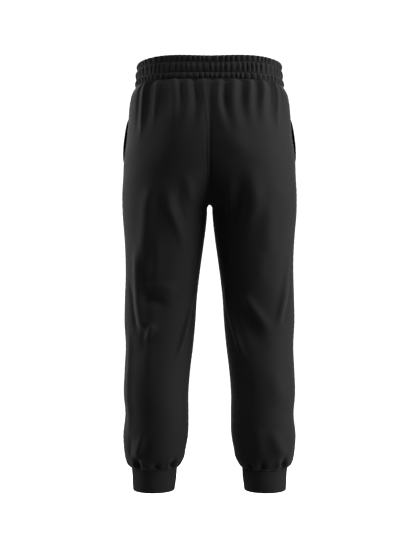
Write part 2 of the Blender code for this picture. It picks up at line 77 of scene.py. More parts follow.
# The shape of one leg by height. outer and inner: distance of the outer seam and of the inner seam from the
# middle plane. back and front: how far the cloth reaches behind and before the side line. side_y and seam_y:
# where those two seams lie, front to back. round: 1 is an ellipse, less is fuller at the corners.
Height = namedtuple("Height", "z outer inner back front side_y seam_y round")
SHAPE = table(
    Height, "round",
    (-27.5, 176.4, 6.2, 121.5, 113.5, 0, 0, 0.70),
    (-31, 176.8, 6.2, 124, 115.8, 0, 0, 0.70),
    (-37, 181.1, 6.2, 128.5, 119.5, 0, 0, 0.71),
    (-48, 187.8, 6.2, 133.5, 122.8, 0, 0, 0.74),
    (-64, 192.2, 6.2, 138.5, 126, 0, 0, 0.78),
    (-90, 195.2, 6.2, 144, 128.5, 0, 0, 0.82),
    (-115, 196.6, 6.2, 148, 129.8, 0, 0, 0.84),
    (-145, 199, 6.2, 151.2, 130, 0, 0, 0.86),
    (-175, 203, 6.2, 152.5, 129.3, 0, 0, 0.88),
    (-208, 207.4, 6.2, 151.5, 127.8, 0, 0, 0.90),
    (-248, 209.1, 6.2, 146.2, 125, 0, 0, 0.91),
    (-280, 211, 6.2, 139.2, 122.2, 0, 0, 0.93),
    (-312.5, 211.3, 6.2, 130, 119.2, 0, 0, 0.95),
    (-335, 210.6, 6.8, 122.8, 117.2, 0, 0, 0.97),
    (-365, 208.3, 9.4, 114, 114.5, 0, 0, 0.98),
    (-394, 206, 12.9, 106.8, 111.8, 0, 0, 0.98),
    (-435, 203.8, 18.6, 97.5, 107.8, -2, -2, 0.98),
    (-485, 203.5, 25.4, 88, 102, -4, -4, 0.98),
    (-540, 205.4, 31.6, 79.5, 94, -6, -6, 0.98),
    (-598, 206.2, 35.2, 74.5, 86, -4, -4, 0.98),
    (-657, 203, 40.7, 78, 78, 0, 0, 0.98),
    (-715, 205.3, 47.7, 85, 70, 6, 6, 0.98),
    (-774, 206.6, 52, 88.5, 64, 10, 10, 0.98),
    (-818, 202.9, 51.6, 87, 60, 12, 12, 0.98),
    (-875, 207.9, 53.3, 84, 58, 12, 12, 0.98),
    (-905, 205.9, 58.7, 80, 56, 12, 12, 0.98),
    (-925, 203.2, 62.5, 75.5, 53, 11, 11, 0.98),
    (-940, 198, 70.5, 70, 50, 10, 10, 0.98),
    (-949.5, 189.8, 78, 64, 45, 10, 10, 0.98),
)

# Lines across a leg piece: their height at the outer seam and at the middle or inner seam, and the share of
# the piece's rows down to the next line. They tilt where the crotch turns under.
Line = namedtuple("Line", "side_z seam_z rows")
LINES = table(
    Line, "rows",
    (-31, -27.5, 1),
    (-36.5, -33, 1),
    (-47.5, -45, 1),
    (-65, -64, 1),
    (-90, -90, 7),
    (-216, -229, 2),
    (-254, -276, 1),
    (-271, -292, 1),
    (-287, -303, 1),
    (-303, -310, 1),
    (-318, -312.5, 1),
    (-332, -315, 1),
    (-346, -323, 1),
    (-364, -344, 2),
    (-413, -410, 15),
    (-860, -860, 2),
    (-900, -900, 3),
    (-938, -938, 1),
    (-949.5, -949.5, 0),
)
CROTCH_LINE = 10  # the line where the two legs part
FINE_ROWS = 7  # rows of mesh for each share of the table

# Folds of the cloth, as soft ridges (height above 0) and troughs (below 0). Each runs from height z0, at x0
# from the middle plane, to z1 and x1, and is about two widths wide. It rises over the share fade0 of its
# length and dies away over fade1. bow: how far the middle of the run swings towards the outer seam.
Fold = namedtuple("Fold", "z0 x0 z1 x1 width height fade0 fade1 bow", defaults=(0.0,))


def folds(*rows):
    """Folds from rows of all their numbers; bow may be left out."""
    return table(Fold, "fade0 fade1", *rows)


HANG_RISE, HANG_FADE = 0.02, 0.85


def hanging(*rows):
    """Folds that hang from the waist seam, from the middle seam outwards. Each row is x0, z1, x1, width,
    height and, where it isn't HANG_FADE, fade1."""
    return folds(*((1000 * WAIST_SEAM_Z, *row[:5], HANG_RISE, *(row[5:] or (HANG_FADE,))) for row in rows))


LEFT_BACK_FOLDS = hanging(
    (20, -165, 33, 3.8, 3.8, 0.80),
    (33, -165, 45, 5, -3.6),
    (53, -165, 66, 7.5, 5, 0.75),
    (65, -165, 75, 7.5, -2.8, 0.75),
    (80, -160, 88, 10.5, 7.2, 0.80),
    (103, -140, 110, 10, -1),
    (116.5, -155, 134, 6.6, 5.8, 0.70),
    (134, -170, 151, 6.4, -4.2, 0.70),
    (145, -180, 165, 6.2, 5.8, 0.50),
    (156.5, -170, 175.5, 5.8, -3.2, 0.60),
) + folds(
    # Seat and thigh
    (-55, 85, -250, 85, 42, 9, 0.35, 0.45),
    (-255, 121, -490, 172, 19, 7.4, 0.25, 0.35, -9),
    (-262, 109, -450, 52, 12.5, 6.2, 0.35, 0.50),
    (-240, 70, -345, 30, 9, 3.4, 0.40, 0.45),
    (-265, 77, -385, 45, 10, -3.2, 0.35, 0.45),
    (-370, 122, -510, 129, 14, 4.4, 0.40, 0.30),
    # Outer ridge above the knee, and the fork below it
    (-390, 175, -622, 154, 12.6, 10.4, 0.50, 0.13, 6),
    (-475, 194, -640, 168, 7, -4, 0.35, 0.30),
    (-600, 131, -655, 158, 7, 6, 0.15, 0.60),
    (-612, 154, -675, 156, 10, -3, 0.30, 0.60),
    # Behind the knee
    (-505, 156, -520, 70, 13, 5, 0.35, 0.40),
    (-536, 166, -556, 90, 11, -6.8, 0.25, 0.45),
    (-610, 146, -760, 146, 17, 3, 0.40, 0.45),
    (-545, 137, -640, 137, 15, 4.8, 0.40, 0.45),
    # Inner side below the knee, calf, and above the cuff
    (-530, 39.5, -700, 84, 6, 7.4, 0.30, 0.40),
    (-600, 193, -880, 194, 10, 4.2, 0.20, 0.25),
    (-845, 150, -925, 175, 9.5, 5.4, 0.45, 0.30),
    (-860, 184, -925, 190, 8, -3, 0.40, 0.30),
    (-860, 142, -925, 155, 11, -2.4, 0.45, 0.30),
)
RIGHT_BACK_FOLDS = hanging(
    (8.5, -155, 19, 4, -3.8, 0.80),
    (20.5, -180, 43, 5.8, 5.4, 0.80),
    (35.5, -175, 58, 6.6, -4.4, 0.80),
    (53.5, -165, 71, 8, 4.4),
    (74, -165, 89, 8.5, -3.2),
    (91, -155, 101, 8.5, 4.2),
    (106, -155, 113, 8.5, -2.4),
    (121, -160, 129, 9.5, 5),
    (137.5, -165, 147, 8, -3.4),
    (149.5, -170, 162, 6.2, 4.6, 0.60),
    (160.5, -150, 173.5, 5.6, -2.6, 0.80),
) + folds(
    # Seat and thigh
    (-85, 45, -230, 70, 26, 4.6, 0.40, 0.40),
    (-240, 54, -380, 28, 9, 3.8, 0.40, 0.45),
    (-235, 80, -410, 51, 11, -5, 0.40, 0.45),
    (-225, 98, -410, 83, 19, 6.6, 0.40, 0.45),
    (-290, 17, -500, 45, 16, -5, 0.35, 0.30),
    (-290, 127, -460, 142, 22, 3.4, 0.40, 0.40),
    (-420, 123, -510, 119, 14, 1.4, 0.40, 0.35),
    # The long trough across the back of the knee, and the ridges on either side of it
    (-490, 42, -680, 138, 19, -6.8, 0.25, 0.40, -2),
    (-518, 70, -632, 150, 12.5, 6.2, 0.25, 0.50),
    (-500, 33, -705, 90.5, 8.2, 7.2, 0.25, 0.35),
    # Outer ridge above the knee, and the soft slope beside it
    (-400, 196, -610, 160, 8.4, 6.2, 0.70, 0.20, 2),
    (-490, 197.5, -615, 172.5, 6.2, -3, 0.30, 0.30),
    # Calf, and above the cuff
    (-670, 68, -800, 90, 14, -4.4, 0.35, 0.45),
    (-700, 150, -800, 165, 20, 3, 0.40, 0.40),
    (-845, 142, -922, 174, 16, 5.6, 0.45, 0.30),
    (-830, 114, -925, 118, 14, 2.8, 0.45, 0.30),
)
LEFT_FRONT_FOLDS = hanging(
    (26, -120, 26, 7, -3.4),
    (40.5, -115, 42, 8.5, 4.4),
    (60, -130, 62, 8, -3.6),
    (80.7, -130, 85, 9, 4.6),
    (113.5, -105, 120, 8.5, 4.2),
    (140.5, -125, 148, 9.5, 4.6),
    (154, -110, 160, 7, -3.4),
    (164, -100, 174, 7, 4),
) + folds(
    (-130, 150, -255, 70, 17, 4.2, 0.45, 0.50),
    (-200, 165, -310, 85, 15, -3.6, 0.45, 0.50),
    (-262, 22, -330, 70, 10, 4.6, 0.25, 0.60),
    (-285, 26, -400, 90, 15, 6.4, 0.30, 0.50),
    (-290, 60, -370, 145, 15, -5, 0.35, 0.45),
    (-330, 132, -520, 150, 22, 5.6, 0.40, 0.40),
    (-500, 50, -535, 135, 12, 4.8, 0.30, 0.50),
    (-420, 192, -600, 162, 11, 6.2, 0.45, 0.30),
    (-560, 160, -580, 75, 14, -6.8, 0.35, 0.40),
    (-610, 175, -655, 70, 13, 6.2, 0.30, 0.50),
    (-640, 50, -760, 95, 11, 6.2, 0.35, 0.45),
    (-700, 172, -820, 138, 16, -4.6, 0.40, 0.45),
    (-800, 165, -910, 130, 14, 5.8, 0.45, 0.35),
    (-840, 85, -925, 95, 12, 4.4, 0.45, 0.35),
)
RIGHT_FRONT_FOLDS = hanging(
    (21, -125, 25, 6, -3.2),
    (36, -135, 44, 8, 4.6),
    (56, -110, 62, 8.5, -3.4),
    (74, -120, 80, 8.5, 4),
    (104, -125, 112, 9, 4.8),
    (133, -105, 140, 8.5, 3.6),
    (149, -120, 156, 7, -3.6),
    (161, -110, 170, 7.5, 4.4),
) + folds(
    (-150, 148, -270, 75, 18, 3.8, 0.45, 0.50),
    (-190, 170, -290, 100, 15, -3.2, 0.45, 0.50),
    (-268, 24, -345, 82, 11, 5, 0.25, 0.60),
    (-300, 26, -430, 84, 15, 5.8, 0.30, 0.50),
    (-305, 64, -365, 150, 15, -4.4, 0.35, 0.45),
    (-340, 140, -540, 142, 22, 5, 0.40, 0.40),
    (-485, 52, -545, 120, 12, 4.4, 0.30, 0.50),
    (-440, 194, -590, 158, 12, 5.6, 0.45, 0.30),
    (-545, 150, -585, 70, 15, -6.2, 0.35, 0.40),
    (-600, 164, -635, 76, 15, 5.6, 0.30, 0.50),
    (-640, 172, -690, 100, 13, 4, 0.35, 0.50),
    (-655, 52, -780, 90, 12, 5.6, 0.35, 0.45),
    (-720, 160, -850, 144, 16, -4, 0.40, 0.45),
    (-820, 150, -915, 145, 13, 5, 0.45, 0.35),
    (-845, 80, -925, 100, 12, 4.8, 0.45, 0.35),
)

# Tucks where a leg is gathered into its cuff: angle in degrees, reach up from the seam, width and depth
Tuck = namedtuple("Tuck", "angle reach width depth")
LEFT_BACK_TUCKS = table(
    Tuck, "angle",
    (20, 26, 5.2, 5),
    (57, 36, 6, 9.2),
    (96, 28, 6.4, 5.6),
    (134, 37, 5.2, 8.4),
    (163, 24, 5, 5),
)
RIGHT_BACK_TUCKS = table(
    Tuck, "angle",
    (18, 24, 5.2, 4.6),
    (51, 40, 5.6, 8.8),
    (99, 30, 5.6, 5.6),
    (124, 20, 5, 5.6),
    (162, 22, 5, 2.6),
)
LEFT_FRONT_TUCKS = table(
    Tuck, "angle",
    (30, 28, 7, 6),
    (66, 24, 7, 6.5),
    (104, 30, 7.5, 7),
    (144, 26, 6.5, 5.5),
)
RIGHT_FRONT_TUCKS = table(
    Tuck, "angle",
    (24, 26, 6.6, 5.4),
    (58, 30, 7, 7.2),
    (110, 26, 7, 6.2),
    (150, 28, 6.5, 5.8),
)
TUCK_SPREAD = 0.5  # how much wider a tuck is at its top than at the cuff seam, as a share
TUCK_RISE = 0.25  # share of its reach over which a tuck deepens from the seam up
TUCK_CLOSE = 0.8  # share of its reach over which it closes again
LIP_HEIGHT = 0.30  # height of the lip on either side, as a share of the tuck's depth
LIP_ASIDE = 1.9  # how many widths the lip lies from the tuck's middle

HALF_REACH = 0.022  # heights above and below a ring that its width is averaged over
HALF_STEPS = 13  # rings in that average
SEAM_TURN = 1.2  # radians beside the middle or inner seam in which the ring moves to meet it
WAIST_STILL = 0.0045  # height below the waist seam in which the gathers rise
SEAM_STILL = 0.010  # distance from a seam within which the folds die away
TURN_STEP = 2e-3  # radians round a ring, for reading the slope of a panel
DROP_STEP = 1e-4  # metres down a panel, for the same
# Distances from either edge of a leg piece to its first columns of mesh
EDGE_STEPS = (0.0, 0.00012, 0.0004, 0.0008, 0.0013, 0.0020, 0.0030, 0.0045, 0.0062, 0.0085)

# Seams and cut edges of the leg pieces
EDGE_RADIUS = 0.0009  # how far a cut edge rounds over
UNDER_RADIUS = 0.0004  # the same where the edge goes under the raised one across the seam
EDGE_SHARE = 0.85  # share of its radius that an edge rounds over, so that it keeps a narrow face
ALLOWANCE = 0.0055  # width of the seam allowance that is pressed to one side under the cloth
ALLOWANCE_RISE = 0.0010
ALLOWANCE_STEP = 0.0010  # distance over which the cloth comes down from it
GROOVE_PLACE = 1.3  # how far from the seam the cloth is drawn in beside it, in widths of the allowance
GROOVE_WIDTH = 0.0013
PUCKER_START = 0.0015  # distance from the seam in which the ripples rise
PUCKER_REACH = 0.008  # and over which they die away
WALL_TURN = 0.006  # distance from a seam in which the wall turns square to the plane of the seam
EDGE_MOVE = 0.004  # distance from a seam in which the cloth moves to its place beside the gap

# Side pockets: the mouth is in the outer seam, and its front edge stands away from the seat panel
MOUTH_TOP_Z = -0.1030
MOUTH_END_Z = -0.2130
MOUTH_OUT, MOUTH_FORWARD = 0.0096, 0.0140  # how far it stands out and forward at most
MOUTH_REACH = 30.0  # degrees of the front ring that the open edge lifts
MOUTH_SKEW = 0.85  # under 1 the edge stands open furthest above the mouth's middle
MOUTH_FULL = 0.6  # under 1 the lift is full along the edge
MOUTH_NARROW = 2.4  # how much narrower it is at the end of its reach
BAG_LINES = (4, 6)  # the lines across a leg piece where the bag starts and ends
BAG_REACH = 7 / 12  # share of the front ring that the bag takes up, from the outer seam
BAG_DEPTH = 0.0200
BAG_FLAT = 0.0012  # how far the bag's sewn edge stays behind the panel
BAG_CLOTH = 0.0010
BAG_REAR_Y = -0.0002  # where the bag's rear strip lies, front to back
BAG_ROWS, BAG_COLUMNS, BAG_STRIP = 60, 48, 6  # rows of its mesh, columns, and columns of the rear strip
BAG_WIDTHS = (0.02, 0.16)  # widths of the rear strip and of the rest in the flat cloth
PAINTED_SHADE_WIDTH = 0.035  # width of the painted shade behind the mouth's front edge: dark pocket cloth on the inner face, as a facing, standing in for the shadow inside the mouth
PAINTED_SHADE_COLUMNS = 4  # columns of mesh outside, over the mouth's edge, that the painted shade covers too, as if the facing rolled out there
MOUTH_STITCH = (0.0055, 0.0105)  # the two rows of stitching, from the edge of the mouth
MOUTH_PAST = 0.004  # how far the mouth's ends keep from the first and the last stitch
MOUTH_RADIUS = 0.115  # radius of the front ring beside the mouth
TACK_START, TACK_END = 0.0012, 0.0110  # from where to where the dense stitches at each end of the mouth run
TACK_HALF, TACK_STITCHES = 0.0022, 9  # half the height of such a row, and its stitches

# The waistband's ring at the foot of its gathers, by height
Ring = namedtuple("Ring", "z width back front")
BAND_RINGS = table(
    Ring, "",
    (26, 170.2, 116.6, 108.8),
    (11.2, 172.6, 118.6, 110.7),
    (-12, 175.5, 120.4, 112.5),
    (-27.1, 176.8, 121.3, 113.3),
)
BAND_LINES = (0.0112, -0.0120)  # heights of the two rows of stitching that part it into three rolls
BAND_TOP_Z = 0.0260
BAND_FOOT_Z = -0.0271
BAND_ROUND = 0.70
TOP_RAISED = 0.0012  # how much higher the top edge stands than at the sides, in the middle of the back
TOP_CORNER = 0.0030  # and how much higher still towards the corners
TOP_FADE = 0.038  # height above the lower row of stitching over which that rise comes in
BAND_SEAM_X = 0.0028  # the middle of the allowance of the seam that closes the waistband at the back
BAND_ALLOWANCE = 0.0024  # half the width of its allowance
BAND_ALLOWANCE_STEP, BAND_ALLOWANCE_RISE = 0.0009, 0.0007
BAND_GROOVE_WIDTH, BAND_GROOVE_DEPTH = 0.0009, 0.0010  # where the cloth is drawn in at the seam
ROLL_OVER, ROLL_UNDER = 0.003, 0.002  # how far the upper and the lower roll would run on past the edges
GATHER_COLUMNS = 12  # columns of mesh for each gather
BAND_EDGE = 0.0012  # height of the rounded top edge
BAND_ROWS = (70, 5, 24)  # rows of mesh up the outside, over the top and down the inside
WAIST_LENGTH = 1.0  # about the length of a row of stitches round the waist
WAIST_HALVES = (0.17, 0.12)  # about its half widths, for which way is out
STITCH_GAP = 0.18  # share of the pitch left free at each end of a stitch

# The cuffs: outer, inner, back and front mean what they mean in the table of shape
Cuff = namedtuple("Cuff", "z outer inner back front")
CUFF_ROWS = table(
    Cuff, "",
    (-949.9, 189.3, 78.5, 63.8, 44.8),
    (-956, 187.6, 79.5, 64, 45),
    (-970, 186.2, 80.5, 64.2, 45),
    (-986, 185.8, 82.5, 64, 44.8),
    (-1003.8, 185.2, 84.3, 63.6, 44.6),
)
CUFF_Y = 0.010
CUFF_ROUND = 0.98
CUFF_EDGE = 0.0012  # radius of its edges
CUFF_BELLY = 0.0006  # how far it swells in the middle
CUFF_LENGTH = 0.32  # round the flat cloth
CUFF_ROWS_DOWN, RIB_COLUMNS = 30, 5  # rows of mesh on each face, and columns for each rib


# ---- settings


def metres(name, description, default, low=0.0, high=1.0):
    """A length for the sidebar."""
    return bpy.props.FloatProperty(
        name=name, description=description, default=default, min=low, max=high, precision=5, unit="LENGTH"
    )


def colour(name, description, default):
    """A linear colour for the sidebar."""
    return bpy.props.FloatVectorProperty(
        name=name, description=description, default=default, size=3, min=0.0, max=1.0, subtype="COLOR"
    )


class FleeceSettings(bpy.types.PropertyGroup):
    """The cloth of the legs."""

    thickness: metres("Thickness", "Thickness of the fleece", 0.0020, 0.001, 0.003)
    columns: bpy.props.IntProperty(
        name="Columns", description="Columns of mesh across a leg piece", default=96, min=24, max=140
    )
    crease: bpy.props.FloatProperty(
        name="Creases", description="Depth of the folds against the table", default=1.0, min=0.0, max=1.5
    )
    slack: metres("Slack", "How uneven the cloth is between its folds", 0.0007, 0.0, 0.003)
    pucker: metres("Pucker", "Depth of the ripples beside a seam", 0.00035, 0.0, 0.002)
    wale: metres("Wale", "Width of one column of knitting on the face", 0.0011, 0.0003, 0.005)
    colour: colour("Colour", "Colour of the face of the fleece", (0.0080, 0.0080, 0.0084))
    inside: colour("Inside", "Colour of the brushed inside", (0.0110, 0.0110, 0.0115))


class WaistbandSettings(bpy.types.PropertyGroup):
    """The gathered elastic waistband."""

    gathers: bpy.props.IntProperty(
        name="Gathers", description="Gathers round the waistband", default=78, min=20, max=120
    )
    roll: metres("Roll", "How far the cloth rolls out between the stitched lines", 0.0040, 0.0, 0.006)
    gather: metres("Gather depth", "How far the gathers wave in and out", 0.0014, 0.0, 0.004)
    thickness: metres("Thickness", "Two layers of cloth with the elastic", 0.0032, 0.001, 0.006)


class CuffSettings(bpy.types.PropertyGroup):
    """The rib-knit cuffs."""

    ribs: bpy.props.IntProperty(name="Ribs", description="Ribs round a cuff", default=150, min=40, max=240)
    rib_depth: metres("Rib depth", "Depth of the ribs", 0.00022, 0.0, 0.001)
    thickness: metres("Thickness", "Two layers of rib knit", 0.0030, 0.001, 0.006)
    colour: colour("Colour", "Colour of the rib knit", (0.0119, 0.0119, 0.0123))


class StitchSettings(bpy.types.PropertyGroup):
    """The sewing that shows."""

    pitch: metres("Pitch", "Length from one stitch to the next", 0.0032, 0.001, 0.01)
    thread: metres("Thread", "Thickness of the thread", 0.00050, 0.0002, 0.002)
    colour: colour("Colour", "Colour of the thread", (0.0090, 0.0090, 0.0095))


class StageSettings(bpy.types.PropertyGroup):
    """Camera, floor and lights."""

    distance: metres("Camera distance", "From the middle plane of the garment to the camera", 2.62, 0.5, 20.0)
    camera_x: metres("Camera aside", "The camera's place across", 0.00365, -1.0, 1.0)
    camera_z: metres("Camera height", "The camera's height, against the waistband", -0.490, -3.0, 3.0)
    lens: bpy.props.FloatProperty(
        name="Lens", description="Focal length, for a 36 mm long side", default=69.79, min=10, max=300
    )
    floor_z: metres("Floor", "Height of the floor, against the waistband", -1.32, -5.0, 0.0)
    power: bpy.props.FloatProperty(
        name="Lights", description="Strength of all the lights against the table", default=1.0, min=0.0
    )
    sky: bpy.props.FloatProperty(
        name="Sky", description="Strength of the even light from all round", default=0.147, min=0.0
    )
    white: bpy.props.FloatProperty(
        name="White", description="Brightness of the backdrop and the floor", default=1.05, min=0.0
    )


class JoggerSettings(bpy.types.PropertyGroup):
    """All settings of the garment and its stage."""

    fleece: bpy.props.PointerProperty(type=FleeceSettings)
    waistband: bpy.props.PointerProperty(type=WaistbandSettings)
    cuff: bpy.props.PointerProperty(type=CuffSettings)
    stitch: bpy.props.PointerProperty(type=StitchSettings)
    stage: bpy.props.PointerProperty(type=StageSettings)


# ---- form of a leg


def smooth(x):
    """0 below 0, 1 above 1, and a soft step between."""
    x = np.clip(x, 0.0, 1.0)
    return x * x * (3 - 2 * x)


def hand(side):
    """The name of a side: side is 1 for the wearer's left and -1 for the right."""
    return "left" if side > 0 else "right"


def column(name, z):
    """One column of the table of shape at heights z: a smooth curve that passes through every value."""
    knots = -np.array([row.z for row in SHAPE])
    values = np.array([getattr(row, name) for row in SHAPE])
    gaps = np.diff(knots)
    slopes = np.diff(values) / gaps
    inside = (gaps[1:] * slopes[:-1] + gaps[:-1] * slopes[1:]) / (gaps[:-1] + gaps[1:])
    tangents = np.concatenate([slopes[:1], inside, slopes[-1:]])
    at = np.clip(-np.asarray(z, float), knots[0], knots[-1])
    i = np.clip(np.searchsorted(knots, at, side="right") - 1, 0, len(gaps) - 1)
    f = (at - knots[i]) / gaps[i]
    bend0 = tangents[i] * gaps[i] * f * (1 - f) ** 2
    bend1 = tangents[i + 1] * gaps[i] * f * f * (1 - f)
    return values[i] + (values[i + 1] - values[i]) * smooth(f) + bend0 - bend1


def ring_end(z, power):
    """The angle, in radians, where the level ring at z meets the middle seam. It is half a turn below the
    crotch. Above, it is less by an arc sine that grows as the share of the way down to the crotch, to a
    power, falls short of 1."""
    drop = np.clip((WAIST_SEAM_Z - z) / (WAIST_SEAM_Z - CROTCH_Z), 0.0, 1.0)
    rise = np.sqrt(1 - drop**power)
    return np.pi - np.arcsin(np.clip(rise ** (1 / column("round", z)), 0.0, 1.0))


def fold_height(fold, angle0, angle1, angle, z, radius):
    """Height of one fold at a ring angle and a height, laid out flat by the ring's radius. The fold runs from
    angle0 to angle1. Angles are in radians."""
    run_x, run_z = (angle1 - angle0) * radius, fold.z1 - fold.z0
    x, down = (angle - angle0) * radius, z - fold.z0
    length = np.hypot(run_x, run_z)
    along = (x * run_x + down * run_z) / length**2
    inside = np.clip(along, 0.0, 1.0)
    aside = (x * run_z - down * run_x) / length - fold.bow * 4 * inside * (1 - inside)
    across = np.hypot(aside, (along - inside) * length)
    ends = smooth(inside / fold.fade0) * smooth((1 - inside) / fold.fade1)
    return fold.height * ends * np.exp(-((across / fold.width) ** 2))


def tuck_depth(tuck, angle, z, radius):
    """Depth of one tuck: a bell-shaped trough between two lips, which starts at the cuff seam, widens
    upwards and closes at its reach."""
    up = (z - CUFF_SEAM_Z) / tuck.reach
    width = tuck.width * (1 + TUCK_SPREAD * np.clip(up, 0.0, 1.0))
    across = np.radians(angle - tuck.angle) * radius / width
    profile = np.exp(-(across**2)) - LIP_HEIGHT * np.exp(-((np.abs(across) - LIP_ASIDE) ** 2))
    return tuck.depth * profile * smooth(up / TUCK_RISE) * smooth((1 - up) / TUCK_CLOSE)


def leg_rows():
    """The heights of every row of mesh at the outer seam and at the middle or inner seam, as two arrays."""
    at = np.concatenate([[0], np.cumsum([line.rows for line in LINES[:-1]])])
    steps = np.arange(at[-1] * FINE_ROWS + 1) / FINE_ROWS
    side_z = np.interp(steps, at, [line.side_z for line in LINES])
    seam_z = np.interp(steps, at, [line.seam_z for line in LINES])
    return side_z, seam_z


def crotch_row():
    """The number of the row of mesh where the two legs part."""
    return sum(line.rows for line in LINES[:CROTCH_LINE]) * FINE_ROWS


class LegPiece:
    """One of the four leg pieces as a surface of ring angle and height. side is 1 for the wearer's left."""

    def __init__(self, face, side, settings):
        self.back = face == "back"
        self.side = side
        self.toward = 1 if self.back else -1
        self.name = f"{face}_{hand(side)}"
        self.power = BACK_RISE_POWER if self.back else FRONT_RISE_POWER
        self.folds, self.tucks = {
            "back_left": (LEFT_BACK_FOLDS, LEFT_BACK_TUCKS),
            "back_right": (RIGHT_BACK_FOLDS, RIGHT_BACK_TUCKS),
            "front_left": (LEFT_FRONT_FOLDS, LEFT_FRONT_TUCKS),
            "front_right": (RIGHT_FRONT_FOLDS, RIGHT_FRONT_TUCKS),
        }[self.name]
        self.settings = settings

    def half_width(self, z):
        """Half the width of the whole ring: half the distance from the outer seam to where the ring would end
        at half a turn. It is averaged over the heights near z, so no crease shows where the legs part."""
        near = np.asarray(z, float)[..., None] + HALF_REACH * np.linspace(-1.0, 1.0, HALF_STEPS)
        reach = np.abs(np.cos(ring_end(near, self.power))) ** column("round", near)
        inner = column("inner", near) * smooth((CROTCH_Z - near) / CROTCH_ROUND / 2)
        share = 1 + np.cos(np.linspace(-np.pi, np.pi, HALF_STEPS))
        return ((column("outer", near) - inner) / (1 + reach) * share).sum(-1) / share.sum()

    def bare(self, angle, z):
        """Points with no folds, and the ring's radius. x and y are powers of the angle's cosine and sine,
        scaled to the half widths at that height. Near the middle or inner seam x moves to meet that seam.
        angle is in radians."""
        roundness = column("round", z)
        outer, half, end = column("outer", z), self.half_width(z), ring_end(z, self.power)
        x = outer - half + half * np.sign(np.cos(angle)) * np.abs(np.cos(angle)) ** roundness
        open_gap = np.sqrt(np.clip((CROTCH_Z - z) / CROTCH_ROUND, 0.0, 1.0))
        seam_x = outer - half - half * np.abs(np.cos(end)) ** roundness
        x = x + (column("inner", z) * open_gap - seam_x) * smooth(1 - (end - angle) / SEAM_TURN)
        side_y, seam_y = column("side_y", z), column("seam_y", z)
        bulge = column("back" if self.back else "front", z) - self.toward * (side_y + seam_y) / 2
        line = side_y + (seam_y - side_y) * (1 - np.cos(angle)) / 2
        y = line + self.toward * bulge * np.abs(np.sin(angle)) ** roundness
        return np.stack([x, y, z], -1), (half + bulge) / 2

    def angle_at(self, x, z):
        """The ring angle, in radians, of the place that lies x from the middle plane at height z."""
        half = self.half_width(z)
        c = (x - column("outer", z) + half) / half
        return np.arccos(np.clip(np.sign(c) * np.abs(c) ** (1 / column("round", z)), -1.0, 1.0))

    def creased(self, angle, z):
        """Points moved along the bare surface's normal by the sum of the folds, tucks and slack there."""
        points, radius = self.bare(angle, z)
        degrees = np.degrees(angle)
        height = np.zeros_like(radius)
        for fold in self.folds:
            angle0, angle1 = (self.angle_at(*end) for end in ((fold.x0, fold.z0), (fold.x1, fold.z1)))
            height += fold_height(fold, angle0, angle1, angle, z, radius)
        height = height - sum(tuck_depth(tuck, degrees, z, radius) for tuck in self.tucks)
        height = height * self.settings.crease + self.settings.slack * self.slack(degrees, z)
        seams = [self.bare(end + 0 * angle, z)[0] for end in (0.0, ring_end(z, self.power))]
        to_seam = np.minimum(*(np.linalg.norm(points - seam, axis=-1) for seam in seams))
        below_waist = WAIST_SEAM_Z - WAIST_DIP * np.cos(np.minimum(angle, np.pi / 2)) ** 2 - z
        height = height * smooth(to_seam / SEAM_STILL) * smooth(below_waist / WAIST_STILL)
        return points + self.normal(angle, z) * height[..., None]

    def slack(self, degrees, z):
        """Soft unevenness from -1 to 1: two products of slow waves that cross each other, the finer one
        weaker. Each piece has a phase of its own."""
        own = 1.7 * self.side + 0.9 * self.toward
        a, h = np.radians(degrees), z * 20
        waves = np.sin(2.3 * a + 1.1 * h + own) * np.sin(0.9 * h - 1.3 * a + 2 * own)
        waves = waves + 0.6 * np.sin(5.1 * a - 1.7 * h + 3 * own) * np.sin(2.3 * h + 0.7 * a)
        return waves / 1.6

    def surface(self, angle, z):
        """The outer face: the creased cloth, with the front edge of the pocket's mouth lifted off. The lift
        is a half sine down the mouth, to a power that grows away from the edge. It dies over its reach."""
        points = self.creased(angle, z)
        if self.back:
            return points
        down = np.clip((MOUTH_TOP_Z - z) / (MOUTH_TOP_Z - MOUTH_END_Z), 0.0, 1.0)
        away = np.clip(np.degrees(angle) / MOUTH_REACH, 0.0, 1.0)
        lift = np.sin(np.pi * down**MOUTH_SKEW) ** (MOUTH_FULL + MOUTH_NARROW * away) * smooth(1 - away)
        return points + lift[..., None] * np.array([MOUTH_OUT, -MOUTH_FORWARD, 0.0])

    def normal(self, angle, z):
        """Outward normals of the bare surface, from its slopes both ways."""
        high, low = np.minimum(z + DROP_STEP, WAIST_SEAM_Z), np.maximum(z - DROP_STEP, CUFF_SEAM_Z)
        down = self.bare(angle, low)[0] - self.bare(angle, high)[0]
        ahead, behind = np.minimum(angle + TURN_STEP, np.pi), np.maximum(angle - TURN_STEP, 0.0)
        n = np.cross(self.bare(ahead, z)[0] - self.bare(behind, z)[0], down) * -self.toward
        return n / np.linalg.norm(n, axis=-1, keepdims=True)

    def lengths(self, side_z, seam_z, steps=64):
        """The length of each row from the outer seam to the middle or inner seam, with no folds."""
        share = np.linspace(0.0, 1.0, steps + 1)[None, :]
        z = row_heights(side_z[:, None], seam_z[:, None], share)
        points = self.bare(ring_end(z, self.power) * share, z)[0]
        return np.linalg.norm(np.diff(points, axis=1), axis=-1).sum(1)

    def open_mouth(self, z):
        """Whether the outer seam is open at height z, for the side pocket."""
        return (z < MOUTH_TOP_Z) & (z > MOUTH_END_Z)

    def mirrored(self, points):
        """The points on this piece's own side."""
        return points * np.array([self.side, 1.0, 1.0])


def row_heights(side_z, seam_z, share):
    """Heights along a row: share runs from 0 at the outer seam to 1 at the middle or inner seam."""
    return side_z + (seam_z - side_z) * np.sin(np.pi / 2 * share) ** 2


